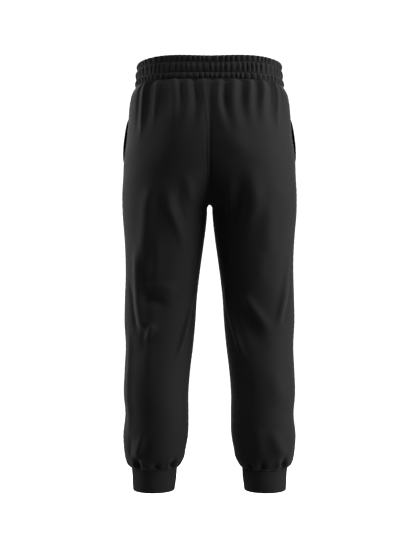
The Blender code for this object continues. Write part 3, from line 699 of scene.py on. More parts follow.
def edge_shares(length, columns):
    """Places of the columns as shares of a row: fixed steps from either edge, and even spaces between."""
    steps = np.array(EDGE_STEPS)
    left = steps[None, :] / length[:, None]
    middle = np.linspace(0.0, 1.0, columns - 2 * len(steps) + 3)[1:-1][None, :]
    first, last = left[:, -1:], 1 - left[:, -1:]
    return np.concatenate([left, first + (last - first) * middle, 1 - left[:, ::-1]], axis=1)


# ---- mesh making


def grid_normals(points, toward):
    """Normals of a grid of points from its slopes both ways; toward turns them to the outer side."""
    down, ahead = np.gradient(points, axis=0), np.gradient(points, axis=1)
    n = np.cross(ahead, down) * toward
    return n / np.maximum(np.linalg.norm(n, axis=-1, keepdims=True), 1e-12)


def grid_faces(rows, columns, wrap_rows, wrap_columns):
    """The four corners of every face of a grid, as rows and columns that may run one past the end."""
    r, c = np.arange(rows - (not wrap_rows)), np.arange(columns - (not wrap_columns))
    r, c = (part.ravel() for part in np.meshgrid(r, c, indexing="ij"))
    return np.stack([r, r + 1, r + 1, r], -1), np.stack([c, c, c + 1, c + 1], -1)


def link_object(name, data):
    """A new object in the scene, at the origin."""
    obj = bpy.data.objects.new(name, data)
    bpy.context.scene.collection.objects.link(obj)
    return obj


def put_mesh(name, points, faces, uv, materials, face_material=None):
    """A smooth-shaded object from arrays: points (n, 3), faces (m, 4), and uv in metres for each corner."""
    mesh = bpy.data.meshes.new(name)
    mesh.vertices.add(len(points))
    mesh.vertices.foreach_set("co", points.astype(np.float32).ravel())
    mesh.loops.add(faces.size)
    mesh.loops.foreach_set("vertex_index", faces.astype(np.int32).ravel())
    mesh.polygons.add(len(faces))
    mesh.polygons.foreach_set("loop_start", np.arange(0, faces.size, faces.shape[1], dtype=np.int32))
    if face_material is not None:
        mesh.polygons.foreach_set("material_index", face_material.astype(np.int32))
    for material in materials:
        mesh.materials.append(material)
    mesh.uv_layers.new(name="cloth").data.foreach_set("uv", uv.astype(np.float32).ravel())
    mesh.update(calc_edges=True)
    mesh.validate()
    mesh.shade_smooth()
    return link_object(name, mesh)


def wall_object(name, outer, inner, cloth_u, cloth_v, materials, flip, painted_shade_faces=None):
    """A closed wall of cloth from two grids of the same size: faces out, faces in, and a rim round the edge.
    cloth_u and cloth_v: where each point of the grid lies in the flat cloth, in metres. painted_shade_faces:
    for each face of the grid, whether it takes the dark pocket cloth inside as painted shade, a facing that
    stands in for the shadow in the pocket's mouth, and the rim and the first columns outside with it."""
    rows, columns = outer.shape[:2]
    points = np.concatenate([outer.reshape(-1, 3), inner.reshape(-1, 3)])
    flat = np.stack([cloth_u, cloth_v], -1).reshape(-1, 2)
    number = np.arange(rows * columns).reshape(rows, columns)
    r, c = grid_faces(rows, columns, False, False)
    front = number[r, c]
    back = front[:, ::-1] + rows * columns
    border = np.concatenate([number[:-1, 0], number[-1, :-1], number[:0:-1, -1], number[0, :0:-1]])
    ahead = np.roll(border, -1)
    rim = np.stack([border, border + rows * columns, ahead + rows * columns, ahead], -1)
    faces = np.concatenate([front, back, rim])
    if flip:
        faces = faces[:, ::-1]
    kind = np.concatenate([np.zeros(len(front)), np.ones(len(back)), np.zeros(len(rim))])
    # Painted shade: faces under the pocket's mouth take the dark pocket cloth (index 2) inside, on the rim
    # and on the first columns outside.
    if painted_shade_faces is not None:
        kind[len(front) : 2 * len(front)] += painted_shade_faces.ravel()
        kind[2 * len(front) :][: rows - 1] = 2 * painted_shade_faces[:, 0]
        kind[: len(front)][(c[:, 0] < PAINTED_SHADE_COLUMNS) & painted_shade_faces.ravel()] = 2
    uv = np.concatenate([flat, flat])[faces.ravel()]
    return put_mesh(name, points, faces, uv, materials, kind)


def ring_object(name, points, cloth_u, cloth_v, materials, flip=False):
    """A closed ring: a grid whose rows are a closed profile and whose columns run once round."""
    rows, columns = points.shape[:2]
    number = np.arange(rows * columns).reshape(rows, columns)
    r, c = grid_faces(rows, columns, True, True)
    faces = number[r % rows, c % columns]
    uv = np.stack([cloth_u[c], cloth_v[r]], -1)
    if flip:
        faces, uv = faces[:, ::-1], uv[:, ::-1]
    return put_mesh(name, points.reshape(-1, 3), faces, uv.reshape(-1, 2), materials)


def finish_piece(obj, slot, *nodes):
    """Rides on the only body and stands for its CAD nodes. slot is not used."""
    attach(obj, "root")
    if nodes:
        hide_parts(*nodes)


# ---- materials


def set_inputs(tree, node, values):
    """Sets inputs of a node, by name or number, to numbers, colours or other nodes' outputs."""
    for key, value in values.items():
        if isinstance(value, bpy.types.NodeSocket):
            tree.links.new(value, node.inputs[key])
        else:
            node.inputs[key].default_value = value


def new_node(tree, kind, values):
    """A new node with those inputs."""
    node = tree.nodes.new(kind)
    set_inputs(tree, node, values)
    return node


def math_node(tree, operation, *values):
    """The output of a Math node whose inputs are numbers or other nodes' outputs."""
    node = new_node(tree, "ShaderNodeMath", dict(enumerate(values)))
    node.operation = operation
    return node.outputs[0]


def cloth_material(name, base, wale, knit_depth, roughness, sheen, nap):
    """A knitted cloth: columns of V-shaped stitches in the cloth's own metres, as bump, and a soft nap.

    Across a wale the height is an arch; along it, a sine whose phase is pushed up by the distance from the
    wale's middle, so that the rows read as stitches. nap: strength of the fine fuzz.
    """
    material = bpy.data.materials.new(name)
    material.use_nodes = True
    tree = material.node_tree
    uv = new_node(tree, "ShaderNodeUVMap", {})
    uv.uv_map = "cloth"
    parts = new_node(tree, "ShaderNodeSeparateXYZ", {0: uv.outputs[0]})
    across = math_node(tree, "DIVIDE", parts.outputs[0], wale)
    along = math_node(tree, "DIVIDE", parts.outputs[1], wale * 0.8)
    aside = math_node(tree, "ABSOLUTE", math_node(tree, "SUBTRACT", math_node(tree, "FRACT", across), 0.5))
    squared = math_node(tree, "POWER", aside, 2.0)
    arch = math_node(tree, "SUBTRACT", 1.0, math_node(tree, "MULTIPLY", squared, 4.0))
    phase = math_node(tree, "MULTIPLY", math_node(tree, "ADD", along, aside), 2 * np.pi)
    stitch = math_node(tree, "MULTIPLY_ADD", math_node(tree, "SINE", phase), 0.25, 0.75)
    knit = math_node(tree, "MULTIPLY", arch, stitch)

    place = new_node(tree, "ShaderNodeTexCoord", {}).outputs["Object"]
    fuzz = new_node(tree, "ShaderNodeTexNoise", {"Scale": 900.0, "Detail": 3.0, "Vector": place})
    height = math_node(tree, "MULTIPLY_ADD", fuzz.outputs[0], nap, knit)
    bump = new_node(tree, "ShaderNodeBump", {"Strength": 0.6, "Distance": knit_depth, "Height": height})

    mottle = new_node(tree, "ShaderNodeTexNoise", {"Scale": 45.0, "Detail": 4.0, "Vector": place})
    ramp = new_node(tree, "ShaderNodeValToRGB", {0: mottle.outputs[0]})
    for element, position, share in zip(ramp.color_ramp.elements, (0.35, 0.65), (0.90, 1.10)):
        element.position = position
        element.color = (*[share * c for c in base], 1.0)
    rough = math_node(tree, "MULTIPLY_ADD", mottle.outputs[0], 0.10, roughness - 0.05)
    set_inputs(tree, tree.nodes["Principled BSDF"], {
        "Normal": bump.outputs[0], "Base Color": ramp.outputs[0], "Roughness": rough,
        "Specular IOR Level": 0.30, "Sheen Weight": sheen, "Sheen Roughness": 0.45,
        "Sheen Tint": (1.0, 1.0, 1.0, 1.0),
    })
    return material


def fleece_face(settings):
    """The smooth knitted face of the leg fleece."""
    return cloth_material("fleece_face", settings.colour, settings.wale, 0.00018, 0.78, 0.10, 0.5)


def fleece_inside(settings):
    """The brushed inside of the fleece."""
    return cloth_material("fleece_inside", settings.inside, settings.wale * 2, 0.0003, 0.95, 0.20, 1.6)


def pocket_cloth():
    """The dark plain cloth of the pocket bags, also painted shade on the facing behind each mouth: darker
    than the fleece and without sheen, it stands in for the shadow inside the mouth.
    """
    made = bpy.data.materials.get("pocket_cloth")
    return made or cloth_material("pocket_cloth", (0.0022, 0.0022, 0.0023), 0.0006, 0.00008, 0.9, 0.0, 0.2)


def thread_material(settings):
    """Spun thread, as a very fine knit."""
    return cloth_material("thread", settings.colour, 0.0003, 0.00004, 0.60, 0.05, 0.3)


# ---- the pieces


def edge_drop(distance, radius):
    """How far the surface of a rounded edge lies below the flat, by distance from the edge: a quarter circle,
    cut short so that the edge keeps a narrow face."""
    inside = np.clip(1 - distance / radius, 0.0, 1.0)
    return EDGE_SHARE * radius * (1 - np.sqrt(1 - inside**2))


def seam_ripple(along, own):
    """Uneven ripples beside a seam, from about -1 to 1, by the length along it: two fine waves, the first of
    them stretched and swelled by slow ones."""
    wave = np.sin(along * 430 + 1.3 * np.sin(along * 61 + own)) * (0.6 + 0.4 * np.sin(along * 37 + 2 * own))
    return wave + 0.4 * np.sin(along * 790 + own)


def leg_grid(piece, columns):
    """Angle, height, distance to the outer seam and distance to the middle or inner seam, over the mesh."""
    side_z, seam_z = leg_rows()
    length = piece.lengths(side_z, seam_z)
    share = edge_shares(length, columns)
    z = row_heights(side_z[:, None], seam_z[:, None], share)
    angle = ring_end(z, piece.power) * share
    return angle, z, share * length[:, None], (1 - share) * length[:, None]


def leg_wall(piece):
    """Outer and inner grids of a leg piece.

    The outer face is the creased surface, raised where a seam allowance lies under it and drawn in beside
    that, rippled beside the seams and rounded over at its edges. The inner face lies one thickness under the
    creased surface.
    """
    settings = piece.settings
    angle, z, from_side, from_middle = leg_grid(piece, settings.columns)
    skin = piece.surface(angle, z)
    normal = grid_normals(skin, -piece.toward)
    above_crotch = (np.arange(len(z)) < crotch_row())[:, None]
    normal[..., 1] *= smooth(from_side / WALL_TURN)
    normal[..., 0] *= np.where(above_crotch, smooth(from_middle / WALL_TURN), 1.0)
    normal[..., 1] *= np.where(above_crotch, 1.0, smooth(from_middle / WALL_TURN))
    normal /= np.linalg.norm(normal, axis=-1, keepdims=True)
    own = 1.0 + 2.1 * piece.side + 0.7 * piece.toward
    relief = np.zeros_like(z)
    for distance, pressed in ((from_side, piece.back), (from_middle, piece.back and piece.side > 0)):
        near = np.exp(-distance / PUCKER_REACH)
        relief += settings.pucker * seam_ripple(z, own) * near * smooth(distance / PUCKER_START)
        if pressed:
            relief += ALLOWANCE_RISE * smooth((ALLOWANCE - distance) / ALLOWANCE_STEP)
            relief -= ALLOWANCE_RISE * np.exp(-(((distance - GROOVE_PLACE * ALLOWANCE) / GROOVE_WIDTH) ** 2))
    ends = np.minimum(np.abs(z - z[:1]), np.abs(z - z[-1:]))
    tucked_under = piece.back and piece.side < 0
    middle_drop = edge_drop(from_middle, UNDER_RADIUS if tucked_under else EDGE_RADIUS)
    round_over = np.maximum(edge_drop(np.minimum(from_side, ends), EDGE_RADIUS), middle_drop)
    outer = skin + normal * (relief - round_over)[..., None]
    inner = skin - normal * (settings.thickness - round_over)[..., None]
    for grid, apart in ((outer, SEAM_GAP / 2), (inner, -SEAM_TURNED)):
        at_side = np.where(piece.open_mouth(z), SEAM_GAP / 2, apart) * (1 - smooth(from_side / EDGE_MOVE))
        at_middle = apart * (1 - smooth(from_middle / EDGE_MOVE))
        grid[:, :, 0] += np.where(above_crotch, at_middle, 0.0)
        grid[:, :, 1] += piece.toward * (at_side + np.where(above_crotch, 0.0, at_middle))
    # Painted shade inside the pocket's mouth: faces of the front piece within its width of the open outer
    # seam.
    painted_shade_faces = (piece.open_mouth(z) & (from_side < PAINTED_SHADE_WIDTH))[:-1, :-1] & (not piece.back)
    return piece.mirrored(outer), piece.mirrored(inner), from_side, -z, painted_shade_faces


def make_legs(settings):
    """The four leg pieces, each one wall of fleece."""
    # The third material is the pocket lining, and painted shade inside the pockets' mouths.
    materials = [fleece_face(settings), fleece_inside(settings), pocket_cloth()]
    for side in (1, -1):
        for face in ("back", "front"):
            piece = LegPiece(face, side, settings)
            *grids, painted_shade_faces = leg_wall(piece)
            obj = wall_object(f"cloth_{piece.name}", *grids, materials, side * piece.toward < 0, painted_shade_faces)
            finish_piece(obj, "leg_fleece", piece.name)


def oval(turn, width, back, front, roundness):
    """Points of a level ring about the origin: turn in radians, 0 at +X and a quarter at the back."""
    c, s = np.cos(turn), np.sin(turn)
    x = width * np.sign(c) * np.abs(c) ** roundness
    y = np.where(s > 0, back, front) * np.sign(s) * np.abs(s) ** roundness
    return x, y


def rows_at(rows, z):
    """Every column of a table by height, read in straight lines between its rows at heights z."""
    knots = [-row.z for row in rows]
    return {name: np.interp(-z, knots, [getattr(row, name) for row in rows]) for name in rows[0]._fields}


def even_turns(count, width, back, front, roundness):
    """Turns, in radians, that part a level ring into count equal lengths, and the ring's length."""
    fine = np.linspace(0.0, 2 * np.pi, 20 * count + 1)
    x, y = oval(fine, width, back, front, roundness)
    along = np.concatenate([[0.0], np.cumsum(np.hypot(np.diff(x), np.diff(y)))])
    return np.interp(np.arange(count) / count * along[-1], along, fine), along[-1]


def waist_turns(count):
    """Even turns round the waist seam, and its length."""
    seam = SHAPE[0]
    return even_turns(count, seam.outer, seam.back, seam.front, BAND_ROUND)


def band_rolls(z, early=0.7):
    """Height of the rolls, 0 at a stitched line and 1 at the fullest place of a roll, which lies the higher
    above its middle the smaller early is: a rounded half sine between the top, the two stitched lines and the
    foot. Also the number of rolls above z, with its fraction."""
    marks = -np.array([BAND_TOP_Z + ROLL_OVER, *BAND_LINES, BAND_FOOT_Z - ROLL_UNDER])
    share = np.interp(-z, marks, [0.0, 1.0, 2.0, 3.0])
    return np.abs(np.sin(np.pi * (share % 1) ** early)) ** 0.8, share


def band_gathers(turn, even, z, gathers):
    """The gathers' wave, about -1 in a valley to 1 on a ridge. Its phase drifts along the ring and changes
    from roll to roll, so the gathers are uneven, lean and break at the stitched lines."""
    share = band_rolls(z)[1]
    number = np.floor(np.clip(share, 0.0, 2.999))
    drift = 1.1 * np.sin(5 * even + 1.7 * number) + 0.9 * np.sin(13 * even + 2.6 * number)
    lean = (0.9 * np.sin(7 * even + 1.0) + 0.6 * np.sin(19 * even)) * (share - 1.5) * 0.6
    phase = gathers * even + drift + lean
    puff = 1 - 2 * np.abs(np.sin(phase / 2)) ** 3
    small = np.cos(2.31 * phase + 2.0 * np.sin(9 * even + number))
    size = 0.85 + 0.18 * np.sin(11 * even + 1.7 * number) + 0.12 * np.sin(23 * even + 3 * number)
    return (puff + 0.25 * small) * size


def band_surface(turn, even, z, settings, inside=False):
    """Points of the waistband: an oval ring, rolled out between its stitched lines and waved by the gathers.
    At the back it is drawn in at the seam that closes it and raised over that seam's allowance."""
    rings = rows_at(BAND_RINGS, z)
    x, y = oval(turn, rings["width"], rings["back"], rings["front"], BAND_ROUND)
    away = np.stack([x / rings["width"] ** 2, y / rings["back"] ** 2], -1)
    away /= np.linalg.norm(away, axis=-1, keepdims=True)
    rolls, share = band_rolls(z, 0.86 - 0.32 * np.sin(2 * turn) ** 2)
    wave = band_gathers(turn, even, z, settings.gathers)
    fullness = 1 + 0.15 * np.sin(3 * even + 1.3 * share) + 0.45 * smooth((np.abs(np.cos(turn)) - 0.7) / 0.3)
    out = settings.roll * (rolls * fullness - 0.45) + settings.gather * wave * (0.10 + 0.90 * rolls)
    allowance = smooth((BAND_ALLOWANCE - np.abs(x - BAND_SEAM_X)) / BAND_ALLOWANCE_STEP) * (y > 0)
    groove = BAND_GROOVE_DEPTH * np.exp(-((x / BAND_GROOVE_WIDTH) ** 2)) * (y > 0)
    out = out + BAND_ALLOWANCE_RISE * allowance - groove
    if inside:
        out = -settings.thickness + 0.35 * settings.roll * (0.45 - rolls) + 0.4 * settings.gather * wave
    corner = np.abs(np.cos(turn))
    raised = TOP_RAISED * (1 - corner**4) + TOP_CORNER * np.sin(np.pi * corner)
    low = z - WAIST_DIP * corner**2 + raised * smooth((z - BAND_LINES[1]) / TOP_FADE)
    return np.stack([x + away[..., 0] * out, y + away[..., 1] * out, low], -1)


def make_waistband(settings, fleece):
    """The waistband: one closed profile, up the outside and down the inside, carried round the waist."""
    columns = settings.gathers * GATHER_COLUMNS
    turn, length = waist_turns(columns)
    even = np.arange(columns) / columns * 2 * np.pi
    rows_up, rows_over, rows_down = BAND_ROWS
    up = np.linspace(BAND_FOOT_Z, BAND_TOP_Z - BAND_EDGE, rows_up)
    outer = band_surface(turn[None, :], even[None, :], up[:, None], settings)
    down = np.linspace(BAND_TOP_Z - BAND_EDGE, BAND_FOOT_Z, rows_down)
    inner = band_surface(turn[None, :], even[None, :], down[:, None], settings, inside=True)
    over = np.linspace(0.0, 1.0, rows_over + 2)[1:-1][:, None, None]
    bridge = outer[-1:] + (inner[:1] - outer[-1:]) * (1 - np.cos(np.pi * over)) / 2
    bridge = bridge + np.array([0.0, 0.0, BAND_EDGE]) * np.sin(np.pi * over) ** 0.7
    points = np.concatenate([outer, bridge, inner])
    u = np.arange(columns + 1) / columns * length
    v = np.concatenate([up, np.full(rows_over, up[-1]), down, down[-1:]])
    obj = ring_object("cloth_waistband", points, u, v, [fleece_face(fleece)])
    finish_piece(obj, "waistband_fleece", "waistband")


def make_pocket(side, settings):
    """A pocket bag behind the front piece: that piece's points, moved inwards by a depth that swells between
    the bag's sewn edges. Its rear strip runs from the outer seam straight inwards to meet it."""
    piece = LegPiece("front", side, settings)
    down = np.linspace(0.0, 1.0, BAG_ROWS)[:, None]
    forward = np.linspace(0.0, 1.0, BAG_COLUMNS)[None, :]
    first, last = (LINES[number] for number in BAG_LINES)
    side_z = first.side_z + (last.side_z - first.side_z) * down
    seam_z = first.seam_z + (last.seam_z - first.seam_z) * down
    z = row_heights(side_z, seam_z, forward * BAG_REACH)
    angle = ring_end(z, piece.power) * forward * BAG_REACH
    skin = piece.creased(angle, z)
    normal = piece.normal(angle, z)
    normal[:, 0, 1] = 0.0
    swell = np.sin(np.pi * down) ** 0.7 * np.sin(np.pi * (0.12 + 0.88 * forward)) ** 0.8
    behind = settings.thickness + BAG_FLAT + BAG_DEPTH * swell
    sewn = skin[:, :1] - normal[:, :1] * (settings.thickness + BAG_FLAT / 2)
    inwards = np.linspace(0.0, 1.0, BAG_STRIP + 1)[:-1][None, :, None]
    walls = []
    for depth, rear_y in ((behind, BAG_REAR_Y - BAG_CLOTH), (behind + BAG_CLOTH, BAG_REAR_Y)):
        points = skin - normal * depth[..., None]
        points = np.concatenate([sewn + (points[:, :1] - sewn) * inwards, points], axis=1)
        points[:, : BAG_STRIP + 1, 1] = rear_y
        walls.append(piece.mirrored(points))
    u = np.concatenate([-BAG_WIDTHS[0] * (1 - inwards[..., 0]), forward * BAG_WIDTHS[1]], axis=1) + 0 * down
    v = -np.concatenate([z[:, :1] + 0 * inwards[..., 0], z], axis=1)
    name = f"pocket_bag_{hand(side)}"
    obj = wall_object(f"cloth_{name}", *walls, u, v, [pocket_cloth()], flip=side > 0)
    finish_piece(obj, "pocket_cloth", name)


def make_cuff(side, settings, material):
    """A cuff: a closed profile of doubled rib knit carried round the ankle, with ribs as a fine wave."""
    columns = settings.ribs * RIB_COLUMNS
    turn = 2 * np.pi * np.arange(columns) / columns
    top, foot = CUFF_ROWS[0].z, CUFF_ROWS[-1].z
    down = top + (foot - top) * np.linspace(0.0, 1.0, CUFF_ROWS_DOWN)

    def ring(z, depth):
        """Level rings at heights z, drawn in by depth."""
        at = rows_at(CUFF_ROWS, z)
        middle, half = (at["outer"] + at["inner"]) / 2, (at["outer"] - at["inner"]) / 2
        back, front = at["back"] - CUFF_Y, at["front"] + CUFF_Y
        x, y = oval(turn[None, :], half - depth, back - depth, front - depth, CUFF_ROUND)
        return np.stack([side * (middle + x), CUFF_Y + y, z + 0 * x], -1)

    rib = settings.rib_depth * np.cos(settings.ribs * turn)[None, :]
    share = ((top - down) / (top - foot))[:, None]
    drop = edge_drop(np.minimum(top - down, down - foot), CUFF_EDGE)[:, None]
    outer = ring(down[:, None], drop - rib - CUFF_BELLY * np.sin(np.pi * share))
    inner = ring(down[::-1, None], settings.thickness - drop[::-1] + rib)
    points = np.concatenate([outer, inner])
    u = np.arange(columns + 1) / columns * CUFF_LENGTH
    v = np.concatenate([down, down[::-1], down[:1]])
    name = f"cuff_{hand(side)}"
    obj = ring_object(f"cloth_{name}", points, u, v, [material], flip=side > 0)
    finish_piece(obj, "rib_knit", name)


# ---- stitching


STITCH_RINGS, STITCH_SIDES = 5, 6  # rings of mesh along a stitch, and sides of its tube; the caps need six
STITCH_FLAT = 0.003  # length of a stitch in the flat thread


def stitch_object(name, starts, ends, normals, thread, material, slot):
    """Many stitches as one mesh. Each is a tube of six sides along an arch: its middle follows the line from
    start to end plus a half sine along the normal, and it thins to the ends, which dip into the cloth."""
    t = np.linspace(0.0, 1.0, STITCH_RINGS)[None, :, None]
    arch = thread * (1.1 * np.sin(np.pi * t) - 0.45)
    middle = starts[:, None] + (ends - starts)[:, None] * t + normals[:, None] * arch
    ahead = (ends - starts) / np.linalg.norm(ends - starts, axis=-1, keepdims=True)
    aside = np.cross(ahead, normals)
    around = np.linspace(0.0, 2 * np.pi, STITCH_SIDES + 1)[:-1][None, None, :, None]
    radius = thread / 2 * (0.35 + 0.65 * np.sin(np.pi * t) ** 0.6)[..., None]
    ring = np.cos(around) * aside[:, None, None] + np.sin(around) * normals[:, None, None]
    points = middle[:, :, None] + ring * radius
    number = np.arange(points.size // 3).reshape(-1, STITCH_RINGS, STITCH_SIDES)
    near, far = number[:, :-1], number[:, 1:]
    tube = np.stack([near, far, np.roll(far, -1, 2), np.roll(near, -1, 2)], -1).reshape(-1, 4)
    caps = [number[:, 0][:, [0, 1, 2, 3]], number[:, 0][:, [0, 3, 4, 5]]]
    caps += [number[:, -1][:, [3, 2, 1, 0]], number[:, -1][:, [5, 4, 3, 0]]]
    faces = np.concatenate([tube, *caps])[:, ::-1]
    uv = [np.broadcast_to(v, (*points.shape[:3], 1)) for v in ((t * STITCH_FLAT)[..., None], around * thread)]
    uv = np.concatenate(uv, -1).reshape(-1, 2)
    finish_piece(put_mesh(name, points.reshape(-1, 3), faces, uv[faces.ravel()], [material]), slot)


def stitch_waistband(band, stitch, material):
    """The two lines of stitching round the waistband, in the grooves between its rolls."""
    count = int(WAIST_LENGTH / stitch.pitch)
    turn = waist_turns(count)[0]
    even = np.arange(count) / count * 2 * np.pi
    gap = STITCH_GAP * 2 * np.pi / count
    following = np.roll(turn, -1) + np.where(np.arange(count) == count - 1, 2 * np.pi, 0)
    for number, z in enumerate(BAND_LINES, start=1):
        height = np.full(count, z)
        starts = band_surface(turn + gap, even + gap, height, band)
        ends = band_surface(following - gap, even + 2 * np.pi / count - gap, height, band)
        middle = (starts + ends) / 2
        out = middle * np.array([*(1 / half**2 for half in WAIST_HALVES), 0.0])
        out /= np.linalg.norm(out, axis=-1, keepdims=True)
        name = f"stitching_waistband_{number}"
        stitch_object(name, starts, ends, out, stitch.thread, material, "waistband_fleece")


def stitch_pocket(side, fleece, stitch, material):
    """Two rows of stitching along the front edge of a pocket's mouth, and a bar tack across each end."""
    piece = LegPiece("front", side, fleece)
    top, foot = MOUTH_TOP_Z + MOUTH_PAST, MOUTH_END_Z - MOUTH_PAST
    starts, ends = [], []
    for inset in MOUTH_STITCH:
        edges = np.arange(top, foot, -stitch.pitch)
        for store, share in ((starts, 0.12), (ends, 0.88)):
            z = edges[:-1] + (edges[1:] - edges[:-1]) * share
            store.append(piece.surface(np.full_like(z, inset / MOUTH_RADIUS), z))
    for z in (top, foot):
        rows = z + np.linspace(-TACK_HALF, TACK_HALF, TACK_STITCHES)
        for store, inset in ((starts, TACK_START), (ends, TACK_END)):
            store.append(piece.surface(np.full_like(rows, inset / MOUTH_RADIUS), rows))
    starts, ends = (piece.mirrored(np.concatenate(part)) for part in (starts, ends))
    out = np.zeros_like(starts) + piece.mirrored(np.array([1.0, -0.35, 0.0]))
    out /= np.linalg.norm(out, axis=-1, keepdims=True)
    name = f"stitching_pocket_{hand(side)}"
    stitch_object(name, starts, ends, out, stitch.thread, material, "leg_fleece")


# ---- stage


def soft_light(name, place, target, size, power):
    """A large area light at place that faces target."""
    light = bpy.data.lights.new(name, "AREA")
    light.shape = "RECTANGLE"
    light.size, light.size_y = size
    light.energy = power
    obj = link_object(name, light)
    obj.location = place
    aim = np.array(target, float) - np.array(place, float)
    obj.rotation_euler = (np.arctan2(np.hypot(aim[0], aim[1]), -aim[2]), 0.0, np.arctan2(-aim[0], aim[1]))


# Soft lights: turn is the way round from the camera's side, in degrees, positive towards the wearer's right,
# and lift the angle up from level. All stand LIGHT_AWAY from the middle of the garment and face it.
Lamp = namedtuple("Lamp", "name turn lift power")
LAMPS = (
    Lamp("right_high", 75, 40, 35.0),
    Lamp("right_level", 68, -5, 31.0),
    Lamp("left_high", -75, 40, 14.0),
    Lamp("left_level", -105, -5, 19.0),
    Lamp("right_side", 100, 10, 5.0),
    Lamp("left_behind", -135, 40, 15.0),
    Lamp("rim_right", 165, 40, 35.0),
    Lamp("rim_left", -165, 40, 35.0),
)
LIGHT_AWAY = 2.4
LIGHT_SIZE = (0.8, 1.6)
LIGHT_MIDDLE = (0.0, 0.0, -0.5)
BACKDROP_RADIUS, BACKDROP_TOP, BACKDROP_SIDES = 6.0, 5.0, 48


def glowing(name, white):
    """An evenly glowing white."""
    material = bpy.data.materials.new(name)
    material.use_nodes = True
    set_inputs(material.node_tree, material.node_tree.nodes["Principled BSDF"], {
        "Base Color": (0.9, 0.9, 0.9, 1.0), "Roughness": 1.0,
        "Emission Color": (1.0, 1.0, 1.0, 1.0), "Emission Strength": white,
    })
    return material


def make_stage(stage):
    """A white floor and backdrop, soft lights and the camera. The floor and the backdrop glow by themselves
    and lend the garment no light."""
    world = bpy.data.worlds.new("surroundings")
    bpy.context.scene.world = world
    world.use_nodes = True
    set_inputs(world.node_tree, world.node_tree.nodes["Background"], {0: (1.0, 1.0, 1.0, 1.0), 1: stage.sky})

    turn = np.linspace(0.0, 2 * np.pi, BACKDROP_SIDES + 1)[:-1]
    ring = np.stack([BACKDROP_RADIUS * np.cos(turn), BACKDROP_RADIUS * np.sin(turn), 0 * turn], -1)
    low, high = (ring + np.array([0.0, 0.0, z]) for z in (stage.floor_z, BACKDROP_TOP))
    rim = np.arange(BACKDROP_SIDES)
    above = rim + BACKDROP_SIDES
    walls = np.stack([rim, above, np.roll(above, -1), np.roll(rim, -1)], -1).tolist()
    shapes = {
        "floor": (low, [rim.tolist()]),
        "backdrop": (np.concatenate([low, high]), walls + [above[::-1].tolist()]),
    }
    white = glowing("white_backdrop", stage.white)
    for name, (points, faces) in shapes.items():
        mesh = bpy.data.meshes.new(name)
        mesh.from_pydata(points.tolist(), [], faces)
        mesh.materials.append(white)
        obj = link_object(name, mesh)
        obj.visible_diffuse = obj.visible_glossy = obj.visible_shadow = False

    for lamp in LAMPS:
        turn, lift = np.radians(lamp.turn), np.radians(lamp.lift)
        away = np.array([-np.sin(turn) * np.cos(lift), np.cos(turn) * np.cos(lift), np.sin(lift)])
        place = np.array(LIGHT_MIDDLE) + LIGHT_AWAY * away
        soft_light(lamp.name, place.tolist(), LIGHT_MIDDLE, LIGHT_SIZE, lamp.power * stage.power)

    camera = bpy.data.cameras.new("camera")
    camera.sensor_width = 36.0
    camera.lens = stage.lens
    eye = link_object("camera", camera)
    eye.location = (stage.camera_x, stage.distance, stage.camera_z)
    eye.rotation_euler = (np.pi / 2, 0.0, np.pi)
    bpy.context.scene.camera = eye
    bpy.context.scene.view_settings.view_transform = "Standard"


# ---- operators and sidebar


class JOGGERS_OT_legs(bpy.types.Operator):
    """Make the four leg pieces of fleece"""

    bl_idname = "joggers.legs"
    bl_label = "Leg pieces"

    def execute(self, context):
        make_legs(context.scene.joggers.fleece)
        return {"FINISHED"}


class JOGGERS_OT_waistband(bpy.types.Operator):
    """Make the gathered waistband"""

    bl_idname = "joggers.waistband"
    bl_label = "Waistband"

    def execute(self, context):
        make_waistband(context.scene.joggers.waistband, context.scene.joggers.fleece)
        return {"FINISHED"}


class JOGGERS_OT_pockets(bpy.types.Operator):
    """Make the two pocket bags behind the front pieces"""

    bl_idname = "joggers.pockets"
    bl_label = "Pocket bags"

    def execute(self, context):
        for side in (1, -1):
            make_pocket(side, context.scene.joggers.fleece)
        return {"FINISHED"}


class JOGGERS_OT_cuffs(bpy.types.Operator):
    """Make the two rib-knit cuffs"""

    bl_idname = "joggers.cuffs"
    bl_label = "Cuffs"

    def execute(self, context):
        settings = context.scene.joggers.cuff
        material = cloth_material("rib_knit", settings.colour, 0.0009, 0.00015, 0.85, 0.10, 0.4)
        for side in (1, -1):
            make_cuff(side, settings, material)
        return {"FINISHED"}


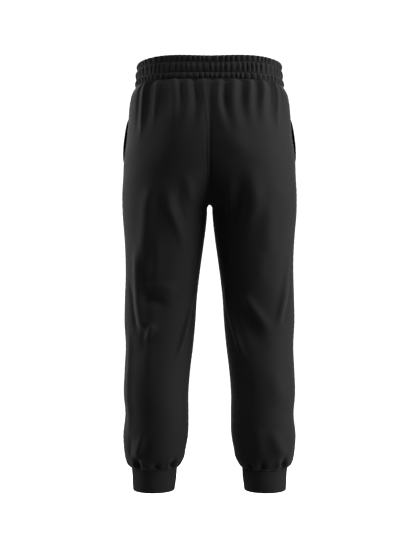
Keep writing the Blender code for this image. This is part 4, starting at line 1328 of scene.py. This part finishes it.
class JOGGERS_OT_stitching(bpy.types.Operator):
    """Sew the waistband and the pocket mouths"""

    bl_idname = "joggers.stitching"
    bl_label = "Stitching"

    def execute(self, context):
        settings = context.scene.joggers
        thread = thread_material(settings.stitch)
        stitch_waistband(settings.waistband, settings.stitch, thread)
        for side in (1, -1):
            stitch_pocket(side, settings.fleece, settings.stitch, thread)
        return {"FINISHED"}


class JOGGERS_OT_stage(bpy.types.Operator):
    """Set up the floor, the lights and the camera"""

    bl_idname = "joggers.stage"
    bl_label = "Stage"

    def execute(self, context):
        make_stage(context.scene.joggers.stage)
        return {"FINISHED"}


class JOGGERS_PT_sidebar(bpy.types.Panel):
    """The garment's operators and settings"""

    bl_idname = "JOGGERS_PT_sidebar"
    bl_label = "Jogger sweatpants"
    bl_space_type = "VIEW_3D"
    bl_region_type = "UI"
    bl_category = "Joggers"

    def draw(self, context):
        for operator in OPERATORS:
            self.layout.operator(operator.bl_idname)
        settings = context.scene.joggers
        for group in (settings.fleece, settings.waistband, settings.cuff, settings.stitch, settings.stage):
            box = self.layout.box()
            for name in group.__annotations__:
                box.prop(group, name)


GROUPS = (FleeceSettings, WaistbandSettings, CuffSettings, StitchSettings, StageSettings, JoggerSettings)
OPERATORS = (
    JOGGERS_OT_legs,
    JOGGERS_OT_waistband,
    JOGGERS_OT_pockets,
    JOGGERS_OT_cuffs,
    JOGGERS_OT_stitching,
    JOGGERS_OT_stage,
)


def register():
    for cls in (*GROUPS, *OPERATORS, JOGGERS_PT_sidebar):
        bpy.utils.register_class(cls)
    bpy.types.Scene.joggers = bpy.props.PointerProperty(type=JoggerSettings)


def unregister():
    del bpy.types.Scene.joggers
    for cls in reversed((*GROUPS, *OPERATORS, JOGGERS_PT_sidebar)):
        bpy.utils.unregister_class(cls)


def main():
    """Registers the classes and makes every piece."""
    register()
    bpy.ops.joggers.stage()
    bpy.ops.joggers.legs()
    bpy.ops.joggers.waistband()
    bpy.ops.joggers.pockets()
    bpy.ops.joggers.cuffs()
    bpy.ops.joggers.stitching()


if __name__ == "__main__":
    main()
